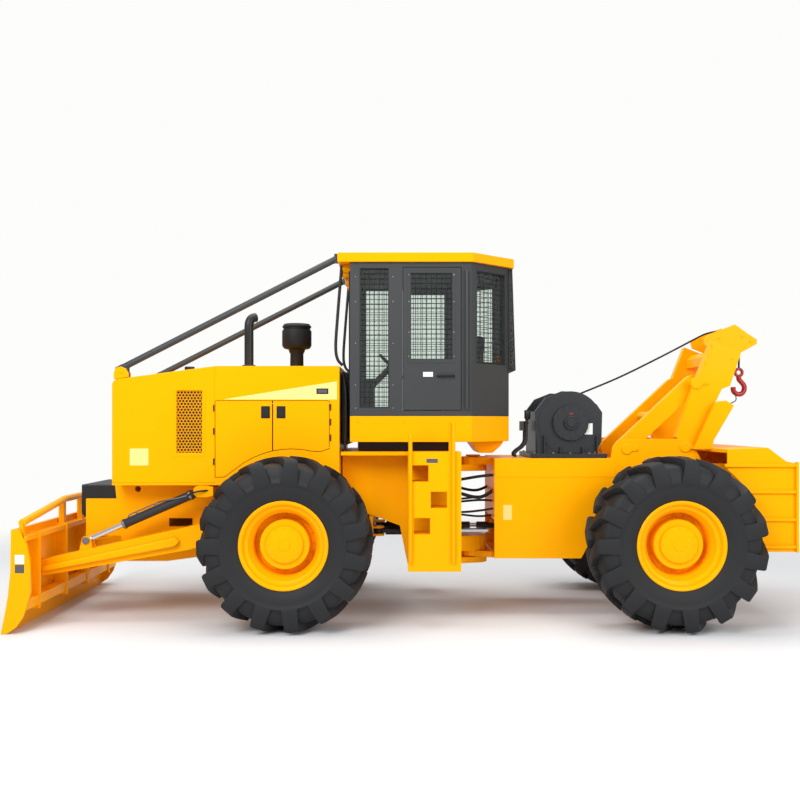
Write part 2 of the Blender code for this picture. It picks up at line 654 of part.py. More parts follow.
def make_front_frame():
    """The front frame: side plates, belly, nose, shelf, deck, bulkhead and hinge plates."""
    inner = FRAME_HALF_WIDTH - PLATE
    whole = (-FRAME_HALF_WIDTH, FRAME_HALF_WIDTH)
    deck_z = (DECK_TOP_Z - PLATE, DECK_TOP_Z)
    side_view = list(BELLY_LINE) + [
        (FRAME_REAR_X, FRAME_TAIL_Z),
        (FRAME_REAR_X, DECK_TOP_Z - PLATE / 2),
        (DECK_FRONT_X, DECK_TOP_Z - PLATE / 2),
        (DECK_FRONT_X, FRAME_RAIL_TOP_Z),
        (FRAME_FRONT_X, FRAME_RAIL_TOP_Z),
    ]
    parts = []
    for side in (-1, 1):
        y = across(side, inner, FRAME_HALF_WIDTH)
        parts.append(prism(side_view, y[0], y[1], "y"))
        nose_box = block(NOSE_BOX_X, across(side, GUARD_HALF_WIDTH + SEAT_GAP, FRAME_HALF_WIDTH),
                         NOSE_BOX_Z)
        parts.append(nose_box)
    belly = [(x, z) for x, z in BELLY_LINE if x <= BELLY_LINE[6][0]]
    parts.append(prism(strip(belly, PLATE), -inner - PLATE / 2, inner + PLATE / 2, "y"))
    nose = [(nose_x(FRAME_RAIL_TOP_Z), FRAME_RAIL_TOP_Z), (nose_x(FRAME_BELLY_Z), FRAME_BELLY_Z)]
    nose += [(x + PLATE, z) for x, z in reversed(nose)]
    parts.append(prism(nose, -inner - PLATE / 2, inner + PLATE / 2, "y"))
    shelf_top = HOOD_BOTTOM_Z - SEAT_GAP
    for side in (-1, 1):
        parts.append(block((HOOD_FRONT_X, HOOD_REAR_X), across(side, inner, HOOD_HALF_WIDTH),
                           (shelf_top - SHELF_THICKNESS, shelf_top)))
    parts.append(block((DECK_FRONT_X, FRAME_REAR_X), (-DECK_HALF_WIDTH, DECK_HALF_WIDTH), deck_z))
    bulkhead_x = (FRAME_REAR_X - BULKHEAD_THICKNESS, FRAME_REAR_X)
    parts.append(block(bulkhead_x, whole, (STEER_WINDOW_Z[1], DECK_TOP_Z - PLATE / 2)))
    parts.append(block(bulkhead_x, whole, (FRAME_TAIL_Z, STEER_WINDOW_Z[0])))
    root_x = FRAME_REAR_X - BULKHEAD_THICKNESS / 2
    for z in (UPPER_FRONT_EAR, LOWER_FRONT_BOSS, LOWER_FRONT_EAR):
        parts.append(pivot_ear(root_x, z))
    parts.append(pivot_pin((UPPER_FRONT_EAR[0], UPPER_REAR_EAR[1] + RUNNING_GAP * 2)))
    parts.append(pin_head(UPPER_REAR_EAR[1] + RUNNING_GAP))
    parts.append(pivot_pin((LOWER_FRONT_EAR[0], LOWER_FRONT_BOSS[1])))
    for x in CAB_MOUNT_X:
        for side in (-1, 1):
            parts.append(block((x - CAB_MOUNT_HALF, x + CAB_MOUNT_HALF),
                               across(side, inner - CAB_MOUNT_HALF, inner + CAB_MOUNT_HALF),
                               (DECK_TOP_Z - PLATE / 2, SKIRT_BOTTOM_Z - SEAT_GAP)))
    for x in ENGINE_MOUNT_X:
        foot = FRAME_BELLY_Z + PLATE if x < FRONT_AXLE_X - ENGINE_HALF_WIDTH else FRAME_ARCH_Z
        parts.append(block((x, x + ENGINE_MOUNT_LENGTH), (-inner - PLATE / 2, inner + PLATE / 2),
                           (foot + PLATE / 2, ENGINE_Z[0] - SEAT_GAP)))
    web_x = STEER_PIN_X - STEER_EAR_RADIUS
    steer_z = eye_gap_spans(STEER_Z, STEER_EYE_HALF_HEIGHT, STEER_EAR_THICKNESS)
    cross_z = (BELLY_LINE[6][1] - PLATE / 2, BELLY_LINE[6][1] + PLATE / 2)
    for side in (-1, 1):
        parts.append(block((web_x - PLATE, web_x),
                           across(side, STEER_PIN_Y - STEER_EAR_RADIUS, inner + PLATE / 2),
                           (steer_z[0][0], cross_z[1])))
        parts += steer_ears(side, STEER_PIN_X, STEER_PIN_Y, web_x - PLATE / 2)
        ear_low, ear_high = side_spans(side, LIFT_Y, LIFT_EYE_HALF_WIDTH, LIFT_EAR_THICKNESS)
        for y in (ear_low, ear_high):
            outline = link((LIFT_BRACKET_X[1] - LIFT_EAR_RADIUS, LIFT_PIN_Z),
                           (LIFT_PIN_X, LIFT_PIN_Z), LIFT_EAR_RADIUS, LIFT_EAR_RADIUS)
            parts.append(prism(outline, y[0], y[1], "y"))
        reach = max(abs(ear_low[0]), abs(ear_high[1]), abs(ear_low[1]), abs(ear_high[0]))
        bracket_x = (LIFT_PIN_X + LIFT_EYE_RADIUS + RUNNING_GAP * 2, LIFT_BRACKET_X[1])
        parts.append(block(bracket_x, across(side, inner, reach),
                           (LIFT_PIN_Z - LIFT_EAR_RADIUS * 0.8, LIFT_PIN_Z + LIFT_EAR_RADIUS * 0.8)))
        arm_pin = (ARM_PIVOT_X, side * inner, ARM_PIVOT_Z)
        boss_end = (ARM_PIVOT_X, side * (ARM_INNER_Y - SEAT_GAP), ARM_PIVOT_Z)
        pin_end = (ARM_PIVOT_X, side * (ARM_OUTER_Y + RUNNING_GAP * 2), ARM_PIVOT_Z)
        head_start = (ARM_PIVOT_X, side * (ARM_OUTER_Y + RUNNING_GAP), ARM_PIVOT_Z)
        parts.append(rod(arm_pin, boss_end, ARM_EYE_RADIUS, 16))
        parts.append(rod(arm_pin, pin_end, ARM_PIN_RADIUS, 16))
        parts.append(rod(head_start, pin_end, ARM_PIN_RADIUS + PIN_HEAD_SPREAD, 16))
    frame = fused(*parts)
    through = FRAME_HALF_WIDTH + OVERRUN
    hole = rod((NOSE_HOLE_XZ[0], -through, NOSE_HOLE_XZ[1]),
               (NOSE_HOLE_XZ[0], through, NOSE_HOLE_XZ[1]), NOSE_HOLE_RADIUS)
    slot = block(NOSE_SLOT_X, (-through, through), NOSE_SLOT_Z)
    add("front_frame", cut(frame, hole, slot), "yellow_paint")


def make_front_guard():
    """The black box ahead of the front frame's nose."""
    outline = [(GUARD_FRONT_X, GUARD_Z[1]), (GUARD_FRONT_X, GUARD_Z[0] + PLATE),
               (GUARD_FRONT_X + PLATE, GUARD_Z[0])]
    outline += [(nose_x(z) - SEAT_GAP, z) for z in GUARD_Z]
    add("front_guard", prism(outline, -GUARD_HALF_WIDTH, GUARD_HALF_WIDTH, "y"), "black_paint")


def make_front_drive():
    """The front axle and the shaft that runs back to the pivot."""
    pad_top = FRAME_ARCH_Z
    front_input = FRONT_AXLE_X + AXLE_CASE_RADIUS + PLATE * 2
    start = (front_input - PLATE / 2, 0, WHEEL_Z)
    joint_x = PIVOT_X - SHAFT_JOINT_GAP
    shaft = rod(start, (joint_x - SHAFT_YOKE_LENGTH / 2, 0, SHAFT_Z), SHAFT_RADIUS)
    yokes = [rod(start, (start[0] + SHAFT_YOKE_LENGTH, 0, WHEEL_Z), SHAFT_YOKE_RADIUS),
             rod((joint_x - SHAFT_YOKE_LENGTH, 0, SHAFT_Z), (joint_x, 0, SHAFT_Z), SHAFT_YOKE_RADIUS)]
    body = fused(axle(FRONT_AXLE_X, pad_top, front_input), shaft, *yokes)
    add("front_axle", body, "black_paint", smooth_deg=30)



# Engine cover details
HOOD_NOSE_CHAMFER = (0.030, 0.020)
DOOR_FOOT_STEPS = 6
EXHAUST_XY = (-1.787, -0.250)
EXHAUST_RADIUS = 0.054
EXHAUST_RISE = 0.480
EXHAUST_HOOK = (0.030, 0.100)
EXHAUST_COLLAR_RADIUS = 0.085
EXHAUST_COLLAR_HEIGHT = 0.060
CLEANER_XY = (-1.287, 0.150)
CLEANER_STEM_RADIUS = 0.080
CLEANER_BOWL_RADIUS = 0.175
CLEANER_BOWL_Z = (3.020, 3.320)
CLEANER_SIDES = 16
RISER_Y = 0.735
RISER_RADIUS = 0.037
RISER_FOOT_X = (-3.150, -3.010)
RISER_FOOT_Z = 2.740
RISER_HEAD_Z = 3.925
RISER_FOOT_HALF = 0.030
RISER_PLATE_THICKNESS = 0.040


def hood_top_z(x):
    """Height of the engine cover's top at X."""
    if x >= HOOD_SEAM_X:
        return HOOD_TOP_Z
    share = (HOOD_SEAM_X - x) / (HOOD_SEAM_X - HOOD_FRONT_X)
    return HOOD_TOP_Z + share * (HOOD_FRONT_TOP_Z - HOOD_TOP_Z)


def slots(x, y, z, count, axis):
    """Cutters for level slots, one above the other, through a panel."""
    pitch = (z[1] - z[0]) / count
    height = pitch * SLOT_SHARE
    return [block(x, y, (z[0] + pitch * i, z[0] + pitch * i + height)) for i in range(count)]


def make_hood_nose():
    """The fixed front of the engine cover, its front and side grilles cut as slots."""
    rear = HOOD_SEAM_X - SEAT_GAP / 2
    inner_front = HOOD_FRONT_X + HOOD_WALL
    outer = [
        (HOOD_FRONT_X, HOOD_BOTTOM_Z),
        (rear, HOOD_BOTTOM_Z),
        (rear, hood_top_z(rear)),
        (HOOD_FRONT_X + HOOD_NOSE_CHAMFER[0], hood_top_z(HOOD_FRONT_X + HOOD_NOSE_CHAMFER[0])),
        (HOOD_FRONT_X, HOOD_FRONT_TOP_Z - HOOD_NOSE_CHAMFER[1]),
    ]
    inner = [
        (inner_front, HOOD_BOTTOM_Z - OVERRUN),
        (rear + OVERRUN, HOOD_BOTTOM_Z - OVERRUN),
        (rear + OVERRUN, HOOD_TOP_Z - HOOD_WALL),
        (rear, HOOD_TOP_Z - HOOD_WALL),
        (inner_front, hood_top_z(inner_front) - HOOD_WALL),
    ]
    inside = HOOD_HALF_WIDTH - HOOD_WALL
    shell = cut(prism(outer, -HOOD_HALF_WIDTH, HOOD_HALF_WIDTH, "y"),
                prism(inner, -inside, inside, "y"))
    through = (-HOOD_HALF_WIDTH - OVERRUN, HOOD_HALF_WIDTH + OVERRUN)
    side_slots = slots(SIDE_GRILLE_X, through, SIDE_GRILLE_Z, SIDE_GRILLE_SLOTS, "y")
    front_slots = slots((HOOD_FRONT_X - OVERRUN, inner_front + OVERRUN / 2),
                        (-FRONT_GRILLE_HALF_WIDTH, FRONT_GRILLE_HALF_WIDTH),
                        FRONT_GRILLE_Z, FRONT_GRILLE_SLOTS, "x")
    add("hood_nose", cut(shell, *side_slots, *front_slots), "yellow_paint")


def door_foot(x, front):
    """Height of an engine door's lower edge, level at the front hinge and over the wheel."""
    if front:
        past = max(x - HOOD_SEAM_X - FRONT_DOOR_HEEL, 0)
        line = FRONT_DOOR_FOOT_Z + FRONT_DOOR_SLOPE_SHARE * past
    else:
        line = REAR_DOOR_FOOT_Z - REAR_DOOR_SLOPE_SHARE * (REAR_DOOR_END_X - x)
    run = x - FRONT_AXLE_X
    return max(line, WHEEL_Z + math.sqrt(max(WHEEL_ARCH_RADIUS ** 2 - run ** 2, 0)))


def door_outline(front, margin):
    """Side view of an engine door, drawn in by a margin, or of its opening."""
    ends = (HOOD_SEAM_X, DOOR_SPLIT_X) if front else (DOOR_SPLIT_X, REAR_DOOR_END_X)
    low, high = inset_span(ends, margin)
    step = (ends[1] - ends[0]) / DOOR_FOOT_STEPS
    stations = [min(max(ends[0] + step * i, low), high) for i in range(DOOR_FOOT_STEPS + 1)]
    foot = [(x, door_foot(x, front) + margin) for x in stations]
    return foot + [(high, DOOR_SEAM_Z - margin), (low, DOOR_SEAM_Z - margin)]


def make_hood_body():
    """The rest of the engine cover: top, sills and rear wall round the door openings."""
    front = HOOD_SEAM_X + SEAT_GAP / 2
    inside = HOOD_HALF_WIDTH - HOOD_WALL
    shell = block((front, HOOD_REAR_X), (-HOOD_HALF_WIDTH, HOOD_HALF_WIDTH),
                  (HOOD_BOTTOM_Z, HOOD_TOP_Z))
    hollow = block((front - OVERRUN, HOOD_REAR_X - HOOD_WALL), (-inside, inside),
                   (HOOD_BOTTOM_Z - OVERRUN, HOOD_TOP_Z - HOOD_WALL))
    reach = HOOD_HALF_WIDTH + OVERRUN
    openings = []
    for is_front in (True, False):
        outline = door_outline(is_front, 0)
        if is_front:
            ahead = front - OVERRUN
            outline = ([(ahead, outline[0][1])] + outline[:-2]
                       + [(DOOR_SPLIT_X + PANEL_GAP, outline[-3][1]),
                          (DOOR_SPLIT_X + PANEL_GAP, DOOR_SEAM_Z), (ahead, DOOR_SEAM_Z)])
        openings.append(prism(outline, -reach, reach, "y"))
    stubs = [hinge_stub(x, side * HOOD_HALF_WIDTH, DOOR_SEAM_Z, -1)
             for x in (HOOD_SEAM_X + PANEL_GAP, REAR_DOOR_END_X - PANEL_GAP) for side in (-1, 1)]
    add("hood_body", fused(cut(shell, hollow, *openings), *stubs), "yellow_paint")


ENGINE_DOORS = (
    # name, side, front door
    ("engine_door_front_left", -1, True),
    ("engine_door_front_right", 1, True),
    ("engine_door_rear_left", -1, False),
    ("engine_door_rear_right", 1, False),
)


def make_engine_doors():
    """Four side doors, the front ones hinged at the nose and the rear ones at the cab end."""
    for name, side, front in ENGINE_DOORS:
        y = across(side, HOOD_HALF_WIDTH - ENGINE_DOOR_THICKNESS, HOOD_HALF_WIDTH)
        door = prism(door_outline(front, PANEL_GAP), y[0], y[1], "y")
        hinge_x = HOOD_SEAM_X + PANEL_GAP if front else REAR_DOOR_END_X - PANEL_GAP
        add(name, door, "yellow_paint", (hinge_x, side * HOOD_HALF_WIDTH, DOOR_SEAM_Z))


def make_engine():
    """The engine's mass as a plain block on its mounts, and the stacks above it."""
    add("engine", block(ENGINE_X, (-ENGINE_HALF_WIDTH, ENGINE_HALF_WIDTH), ENGINE_Z), "cast_steel")
    x, y = EXHAUST_XY
    foot = HOOD_TOP_Z + SEAT_GAP
    top = foot + EXHAUST_RISE
    pipe = tube([(x, y, foot), (x, y, top), (x + EXHAUST_HOOK[0], y, top + EXHAUST_HOOK[1] / 2),
                 (x + EXHAUST_HOOK[1], y, top + EXHAUST_HOOK[1])], EXHAUST_RADIUS, 14)
    collar = rod((x, y, foot), (x, y, foot + EXHAUST_COLLAR_HEIGHT), EXHAUST_COLLAR_RADIUS, 16)
    add("exhaust_stack", fused(collar, pipe), "cast_steel", smooth_deg=40)
    low, high = CLEANER_BOWL_Z
    rise = high - low
    profile = ((0, foot), (CLEANER_STEM_RADIUS, foot), (CLEANER_STEM_RADIUS, low),
               (CLEANER_BOWL_RADIUS * 0.8, low + rise * 0.1),
               (CLEANER_BOWL_RADIUS, low + rise * 0.3),
               (CLEANER_BOWL_RADIUS, low + rise * 0.7),
               (CLEANER_BOWL_RADIUS * 0.6, high), (0, high))
    add("air_pre_cleaner", turned(profile, (*CLEANER_XY, 0), "z", CLEANER_SIDES), "black_paint",
        smooth_deg=40)


def make_risers():
    """The two limb risers from the nose of the engine cover up to the roof's front edge."""
    for name, side in (("left", -1), ("right", 1)):
        y = side * RISER_Y
        middle = sum(RISER_FOOT_X) / 2
        foot_y = (y - RISER_FOOT_HALF, y + RISER_FOOT_HALF)
        foot = prism([(RISER_FOOT_X[0], hood_top_z(RISER_FOOT_X[0]) + SEAT_GAP),
                      (RISER_FOOT_X[1], hood_top_z(RISER_FOOT_X[1]) + SEAT_GAP),
                      (RISER_FOOT_X[1], RISER_FOOT_Z), (middle, RISER_FOOT_Z + RISER_RADIUS),
                      (RISER_FOOT_X[0], RISER_FOOT_Z)], foot_y[0], foot_y[1], "y")
        head_x = ROOF_FRONT_X - SEAT_GAP
        head = block((head_x - RISER_PLATE_THICKNESS, head_x), foot_y,
                     (CAB_WALL_TOP_Z + SEAT_GAP, ROOF_TOP_Z))
        bar = tube([(middle, y, RISER_FOOT_Z), (head_x - RISER_PLATE_THICKNESS / 2, y, RISER_HEAD_Z)],
                   RISER_RADIUS, 10)
        add("limb_riser_" + name, fused(foot, bar, head), "grey_paint", smooth_deg=30)


# Cab details
CHAMFER_GLASS_SHARES = (0.14, 0.86)
LAMP_RADIUS = 0.052
LAMP_Y = (0.300, 0.620)
LAMP_DROP_SHARE = 0.80
REAR_LAMP_Y = 0.240
REAR_LAMP_RADIUS = 0.022
GRAB_RAIL_X = 0.660
GRAB_RAIL_Z = (2.300, 3.780)
SEAT_X = (0.330, 0.860)
SEAT_HALF_WIDTH = 0.250
SEAT_CUSHION_Z = (2.380, 2.520)
SEAT_BACK_THICKNESS = 0.130
SEAT_BACK_TOP_Z = 3.150
PEDESTAL_HALF = 0.160
DASH_X = (-0.530, -0.360)
DASH_HALF_WIDTH = 0.260
DASH_TOP_Z = 2.640
COLUMN_START = (-0.400, 2.560)
COLUMN_END = (-0.160, 2.800)
COLUMN_RADIUS = 0.035
STEERING_WHEEL_RADIUS = 0.190
STEERING_RIM_RADIUS = 0.016


def cab_plan(inset):
    """Plan of the cab's walls, drawn in by an inset: straight sides, cut rear corners."""
    run = Vector((CAB_REAR_X - CAB_SIDE_REAR_X, CAB_REAR_HALF_WIDTH - CAB_HALF_WIDTH))
    normal = Vector((-run.y, run.x)).normalized()
    level = normal.x * CAB_SIDE_REAR_X + normal.y * CAB_HALF_WIDTH - inset
    side_y, rear_x = CAB_HALF_WIDTH - inset, CAB_REAR_X - inset
    front_x = CAB_FRONT_X + inset
    corner_x = (level - normal.y * side_y) / normal.x
    corner_y = (level - normal.x * rear_x) / normal.y
    return [(front_x, -side_y), (corner_x, -side_y), (rear_x, -corner_y),
            (rear_x, corner_y), (corner_x, side_y), (front_x, side_y)]


def chamfer_panel(side, shares, depth, shrink):
    """Plan of a panel in the cab's cut rear corner, between two depths under its face."""
    start = Vector((CAB_SIDE_REAR_X, CAB_HALF_WIDTH))
    end = Vector((CAB_REAR_X, CAB_REAR_HALF_WIDTH))
    run = (end - start)
    inward = Vector((run.y, -run.x)).normalized()
    along = run.normalized() * shrink
    first, last = start + run * shares[0] + along, start + run * shares[1] - along
    corners = [first + inward * depth[0], last + inward * depth[0],
               last + inward * depth[1], first + inward * depth[1]]
    return [(p.x, side * p.y) for p in corners]


def hinge_stub(x, y, z, toward):
    """A hinge's stub that stands out of a frame's edge and bears on the leaf's end face."""
    return rod((x, y, z - toward * PANEL_GAP), (x, y, z + toward * (PANEL_GAP - SEAT_GAP)),
               HINGE_STUB_RADIUS, 8)


def inset_span(span, gap):
    """A (low, high) pair drawn in by a gap at both ends."""
    return (span[0] + gap, span[1] - gap)


def make_cab():
    """The cab: floor with its skirt, pillared shell, roof, glass and doors."""
    skirt = cut(prism(cab_plan(0), SKIRT_BOTTOM_Z, SKIRT_TOP_Z - SEAT_GAP, "z"),
                prism(cab_plan(CAB_WALL), SKIRT_BOTTOM_Z + CAB_FLOOR_THICKNESS,
                      SKIRT_TOP_Z + OVERRUN, "z"))
    middle = sum(SEAT_X) / 2
    pedestal = block((middle - PEDESTAL_HALF, middle + PEDESTAL_HALF),
                     (-PEDESTAL_HALF, PEDESTAL_HALF),
                     (SKIRT_BOTTOM_Z + CAB_FLOOR_THICKNESS / 2, SEAT_CUSHION_Z[0] - SEAT_GAP))
    add("cab_floor", fused(skirt, pedestal), "yellow_paint")
    reach = CAB_HALF_WIDTH + OVERRUN
    inner = CAB_HALF_WIDTH - CAB_WALL - OVERRUN / 2
    tools = [prism(cab_plan(CAB_WALL), SKIRT_TOP_Z - OVERRUN, CAB_WALL_TOP_Z + OVERRUN, "z")]
    for side in (-1, 1):
        y = across(side, inner, reach)
        tools.append(block(CAB_DOOR_X, y, CAB_DOOR_Z))
        tools.append(block(QUARTER_GLASS_X, y, QUARTER_GLASS_Z))
        corner = chamfer_panel(side, CHAMFER_GLASS_SHARES, (-OVERRUN, CAB_WALL + OVERRUN / 2), 0)
        tools.append(prism(corner, REAR_GLASS_Z[0], REAR_GLASS_Z[1], "z"))
    tools.append(block((CAB_FRONT_X - OVERRUN, CAB_FRONT_X + CAB_WALL + OVERRUN / 2),
                       (-FRONT_GLASS_HALF_WIDTH, FRONT_GLASS_HALF_WIDTH), FRONT_GLASS_Z))
    rear_half = CAB_REAR_HALF_WIDTH - CAB_WALL
    tools.append(block((CAB_REAR_X - CAB_WALL - OVERRUN / 2, CAB_REAR_X + OVERRUN),
                       (-rear_half, rear_half), REAR_GLASS_Z))
    shell = cut(prism(cab_plan(0), SKIRT_TOP_Z, CAB_WALL_TOP_Z, "z"), *tools)
    rails = []
    for side in (-1, 1):
        rail_y = side * (CAB_HALF_WIDTH + STEERING_RIM_RADIUS * 2)
        route = [(GRAB_RAIL_X, side * (CAB_HALF_WIDTH - CAB_WALL / 2), GRAB_RAIL_Z[0]),
                 (GRAB_RAIL_X, rail_y, GRAB_RAIL_Z[0]), (GRAB_RAIL_X, rail_y, GRAB_RAIL_Z[1]),
                 (GRAB_RAIL_X, side * (CAB_HALF_WIDTH - CAB_WALL / 2), GRAB_RAIL_Z[1])]
        rails.append(tube(route, STEERING_RIM_RADIUS, 8))
        hinge_x = CAB_DOOR_X[0] + PANEL_GAP
        for z, toward in zip(CAB_DOOR_Z, (1, -1)):
            rails.append(hinge_stub(hinge_x, side * CAB_HALF_WIDTH, z, toward))
    add("cab_shell", fused(shell, *rails), "grey_paint")
    make_roof()
    make_glass(rear_half)
    make_cab_doors()


def make_roof():
    """The roof, its overhang and the work lamps under its front and rear edges."""
    wide = CAB_HALF_WIDTH + ROOF_OVERHANG
    rear_wide = CAB_REAR_HALF_WIDTH + ROOF_OVERHANG
    plan = [(ROOF_FRONT_X, -wide), (CAB_SIDE_REAR_X + ROOF_OVERHANG / 2, -wide),
            (ROOF_REAR_X, -rear_wide), (ROOF_REAR_X, rear_wide),
            (CAB_SIDE_REAR_X + ROOF_OVERHANG / 2, wide), (ROOF_FRONT_X, wide)]
    bottom = CAB_WALL_TOP_Z + SEAT_GAP
    parts = [prism(plan, bottom, ROOF_TOP_Z, "z")]
    lamp_z = bottom - LAMP_RADIUS * LAMP_DROP_SHARE
    rear_z = bottom - REAR_LAMP_RADIUS * LAMP_DROP_SHARE
    for side in (-1, 1):
        for y in LAMP_Y:
            parts.append(rod((ROOF_FRONT_X + LAMP_RADIUS / 2, side * y, lamp_z),
                             (CAB_FRONT_X - RUNNING_GAP, side * y, lamp_z), LAMP_RADIUS, 12))
        parts.append(rod((CAB_REAR_X + RUNNING_GAP, side * REAR_LAMP_Y, rear_z),
                         (ROOF_REAR_X - RUNNING_GAP, side * REAR_LAMP_Y, rear_z),
                         REAR_LAMP_RADIUS, 12))
    add("cab_roof", fused(*parts), "yellow_paint")


def make_glass(rear_half):
    """The fixed panes, each in its cut window."""
    middle = (CAB_WALL - GLASS_THICKNESS) / 2
    side_y = (CAB_HALF_WIDTH - middle - GLASS_THICKNESS, CAB_HALF_WIDTH - middle)
    front_x = (CAB_FRONT_X + middle, CAB_FRONT_X + middle + GLASS_THICKNESS)
    rear_x = (CAB_REAR_X - middle - GLASS_THICKNESS, CAB_REAR_X - middle)
    add("glass_front", block(front_x, inset_span((-FRONT_GLASS_HALF_WIDTH,
                                                  FRONT_GLASS_HALF_WIDTH), SEAT_GAP),
                             inset_span(FRONT_GLASS_Z, SEAT_GAP)), "glass")
    add("glass_rear", block(rear_x, inset_span((-rear_half, rear_half), SEAT_GAP),
                            inset_span(REAR_GLASS_Z, SEAT_GAP)), "glass")
    for name, side in (("left", -1), ("right", 1)):
        add("glass_quarter_" + name,
            block(inset_span(QUARTER_GLASS_X, SEAT_GAP), across(side, *side_y),
                  inset_span(QUARTER_GLASS_Z, SEAT_GAP)), "glass")
        corner = chamfer_panel(side, CHAMFER_GLASS_SHARES, (middle, middle + GLASS_THICKNESS),
                               SEAT_GAP)
        z = inset_span(REAR_GLASS_Z, SEAT_GAP)
        add("glass_corner_" + name, prism(corner, z[0], z[1], "z"), "glass")


def make_cab_doors():
    """Two cab doors hinged at their front edges, each with its own pane."""
    middle = (CAB_WALL - GLASS_THICKNESS) / 2
    for name, side in (("left", -1), ("right", 1)):
        hinge = (CAB_DOOR_X[0] + PANEL_GAP, side * CAB_HALF_WIDTH, CAB_DOOR_Z[0])
        leaf = block(inset_span(CAB_DOOR_X, PANEL_GAP),
                     across(side, CAB_HALF_WIDTH - CAB_WALL, CAB_HALF_WIDTH),
                     inset_span(CAB_DOOR_Z, PANEL_GAP))
        window = block(DOOR_GLASS_X, across(side, CAB_HALF_WIDTH - CAB_WALL - OVERRUN,
                                            CAB_HALF_WIDTH + OVERRUN), DOOR_GLASS_Z)
        add("cab_door_" + name, cut(leaf, window), "grey_paint", hinge)
        pane = block(inset_span(DOOR_GLASS_X, SEAT_GAP),
                     across(side, CAB_HALF_WIDTH - middle - GLASS_THICKNESS,
                            CAB_HALF_WIDTH - middle), inset_span(DOOR_GLASS_Z, SEAT_GAP))
        add("glass_door_" + name, pane, "glass", hinge)


def make_interior():
    """The seat, and the dash with the steering column and wheel."""
    floor = SKIRT_BOTTOM_Z + CAB_FLOOR_THICKNESS + SEAT_GAP
    back_x = SEAT_X[1] - SEAT_BACK_THICKNESS
    outline = [(SEAT_X[0], SEAT_CUSHION_Z[0]), (SEAT_X[1], SEAT_CUSHION_Z[0]),
               (SEAT_X[1] + SEAT_BACK_THICKNESS / 2, SEAT_BACK_TOP_Z),
               (back_x + SEAT_BACK_THICKNESS / 2, SEAT_BACK_TOP_Z),
               (back_x, SEAT_CUSHION_Z[1]), (SEAT_X[0], SEAT_CUSHION_Z[1])]
    add("seat", prism(outline, -SEAT_HALF_WIDTH, SEAT_HALF_WIDTH, "y"), "seat_cloth")
    dash = block(DASH_X, (-DASH_HALF_WIDTH, DASH_HALF_WIDTH), (floor, DASH_TOP_Z))
    start = (COLUMN_START[0], 0, COLUMN_START[1])
    end = (COLUMN_END[0], 0, COLUMN_END[1])
    column = rod(start, end, COLUMN_RADIUS, 12)
    length = (Vector(end) - Vector(start)).length
    ring = [(STEERING_WHEEL_RADIUS + STEERING_RIM_RADIUS * a, STEERING_RIM_RADIUS * b)
            for a, b in arc((0, 0), 1, 0, 300, 5)]
    rim_ring = turned(ring, (0, 0, length), "z", 20, closed=True)
    spoke = STEERING_RIM_RADIUS
    bar = block((-STEERING_WHEEL_RADIUS, STEERING_WHEEL_RADIUS), (-spoke, spoke),
                (length - spoke / 2, length + spoke / 2))
    bar_across = block((-spoke, spoke), (-STEERING_WHEEL_RADIUS, STEERING_WHEEL_RADIUS),
                       (length - spoke / 2, length + spoke / 2))
    wheel = [aimed(mesh, start, end) for mesh in (rim_ring, bar, bar_across)]
    add("steering_column", fused(dash, column, *wheel), "black_paint", smooth_deg=40)


# Steps beside the deck
STEP_X = (0.024, 0.582)
STEP_Y = (0.790, 1.100)
STEP_Z = (0.583, 1.836)
STEP_WALL = 0.030
STEP_HOLE_HALF = 0.085
STEP_HOLES = (
    # X share, Z share
    (0.23, 0.82),
    (0.58, 0.60),
    (0.26, 0.38),
)
STEP_RAIL_RADIUS = 0.020
STEP_RAILS = (
    # X share, height above the box
    (0.04, 0.180),
    (0.80, 0.300),
)
STEP_ARM_Z = (1.640, 1.700)


def make_steps():
    """A step box on each side: a skin with foot holes, treads, rails and two carriers."""
    for name, side in (("left", -1), ("right", 1)):
        low, high = STEP_Z
        length, rise = STEP_X[1] - STEP_X[0], high - low
        outer = across(side, STEP_Y[0], STEP_Y[1])
        box = block(STEP_X, outer, STEP_Z)
        inner = block(inset_span(STEP_X, STEP_WALL), across(side, STEP_Y[0] - OVERRUN,
                                                            STEP_Y[1] - STEP_WALL),
                      inset_span(STEP_Z, STEP_WALL))
        tools = [inner]
        for x_share, z_share in STEP_HOLES:
            x, z = STEP_X[0] + length * x_share, low + rise * z_share
            tools.append(block((x - STEP_HOLE_HALF, x + STEP_HOLE_HALF),
                               across(side, STEP_Y[1] - STEP_WALL * 2, STEP_Y[1] + OVERRUN),
                               (z - STEP_HOLE_HALF, z + STEP_HOLE_HALF)))
        skin = cut(box, *tools)
        parts = [skin]
        for x_share, z_share in STEP_HOLES:
            tread = low + rise * z_share - STEP_HOLE_HALF
            parts.append(block(inset_span(STEP_X, STEP_WALL / 2),
                               across(side, STEP_Y[0], STEP_Y[1] - STEP_WALL / 2),
                               (tread - STEP_WALL, tread)))
        for x_share, rise_over in STEP_RAILS:
            x = STEP_X[0] + length * x_share
            y = side * (STEP_Y[1] - STEP_RAIL_RADIUS * 2)
            parts.append(rod((x, y, high - STEP_WALL / 2), (x, y, high + rise_over),
                             STEP_RAIL_RADIUS, 8))
        parts.append(block(inset_span(STEP_X, STEP_WALL), across(side, FRAME_HALF_WIDTH + SEAT_GAP,
                                                                 STEP_Y[0] + STEP_WALL),
                           STEP_ARM_Z))
        add("steps_" + name, fused(*parts), "yellow_paint")


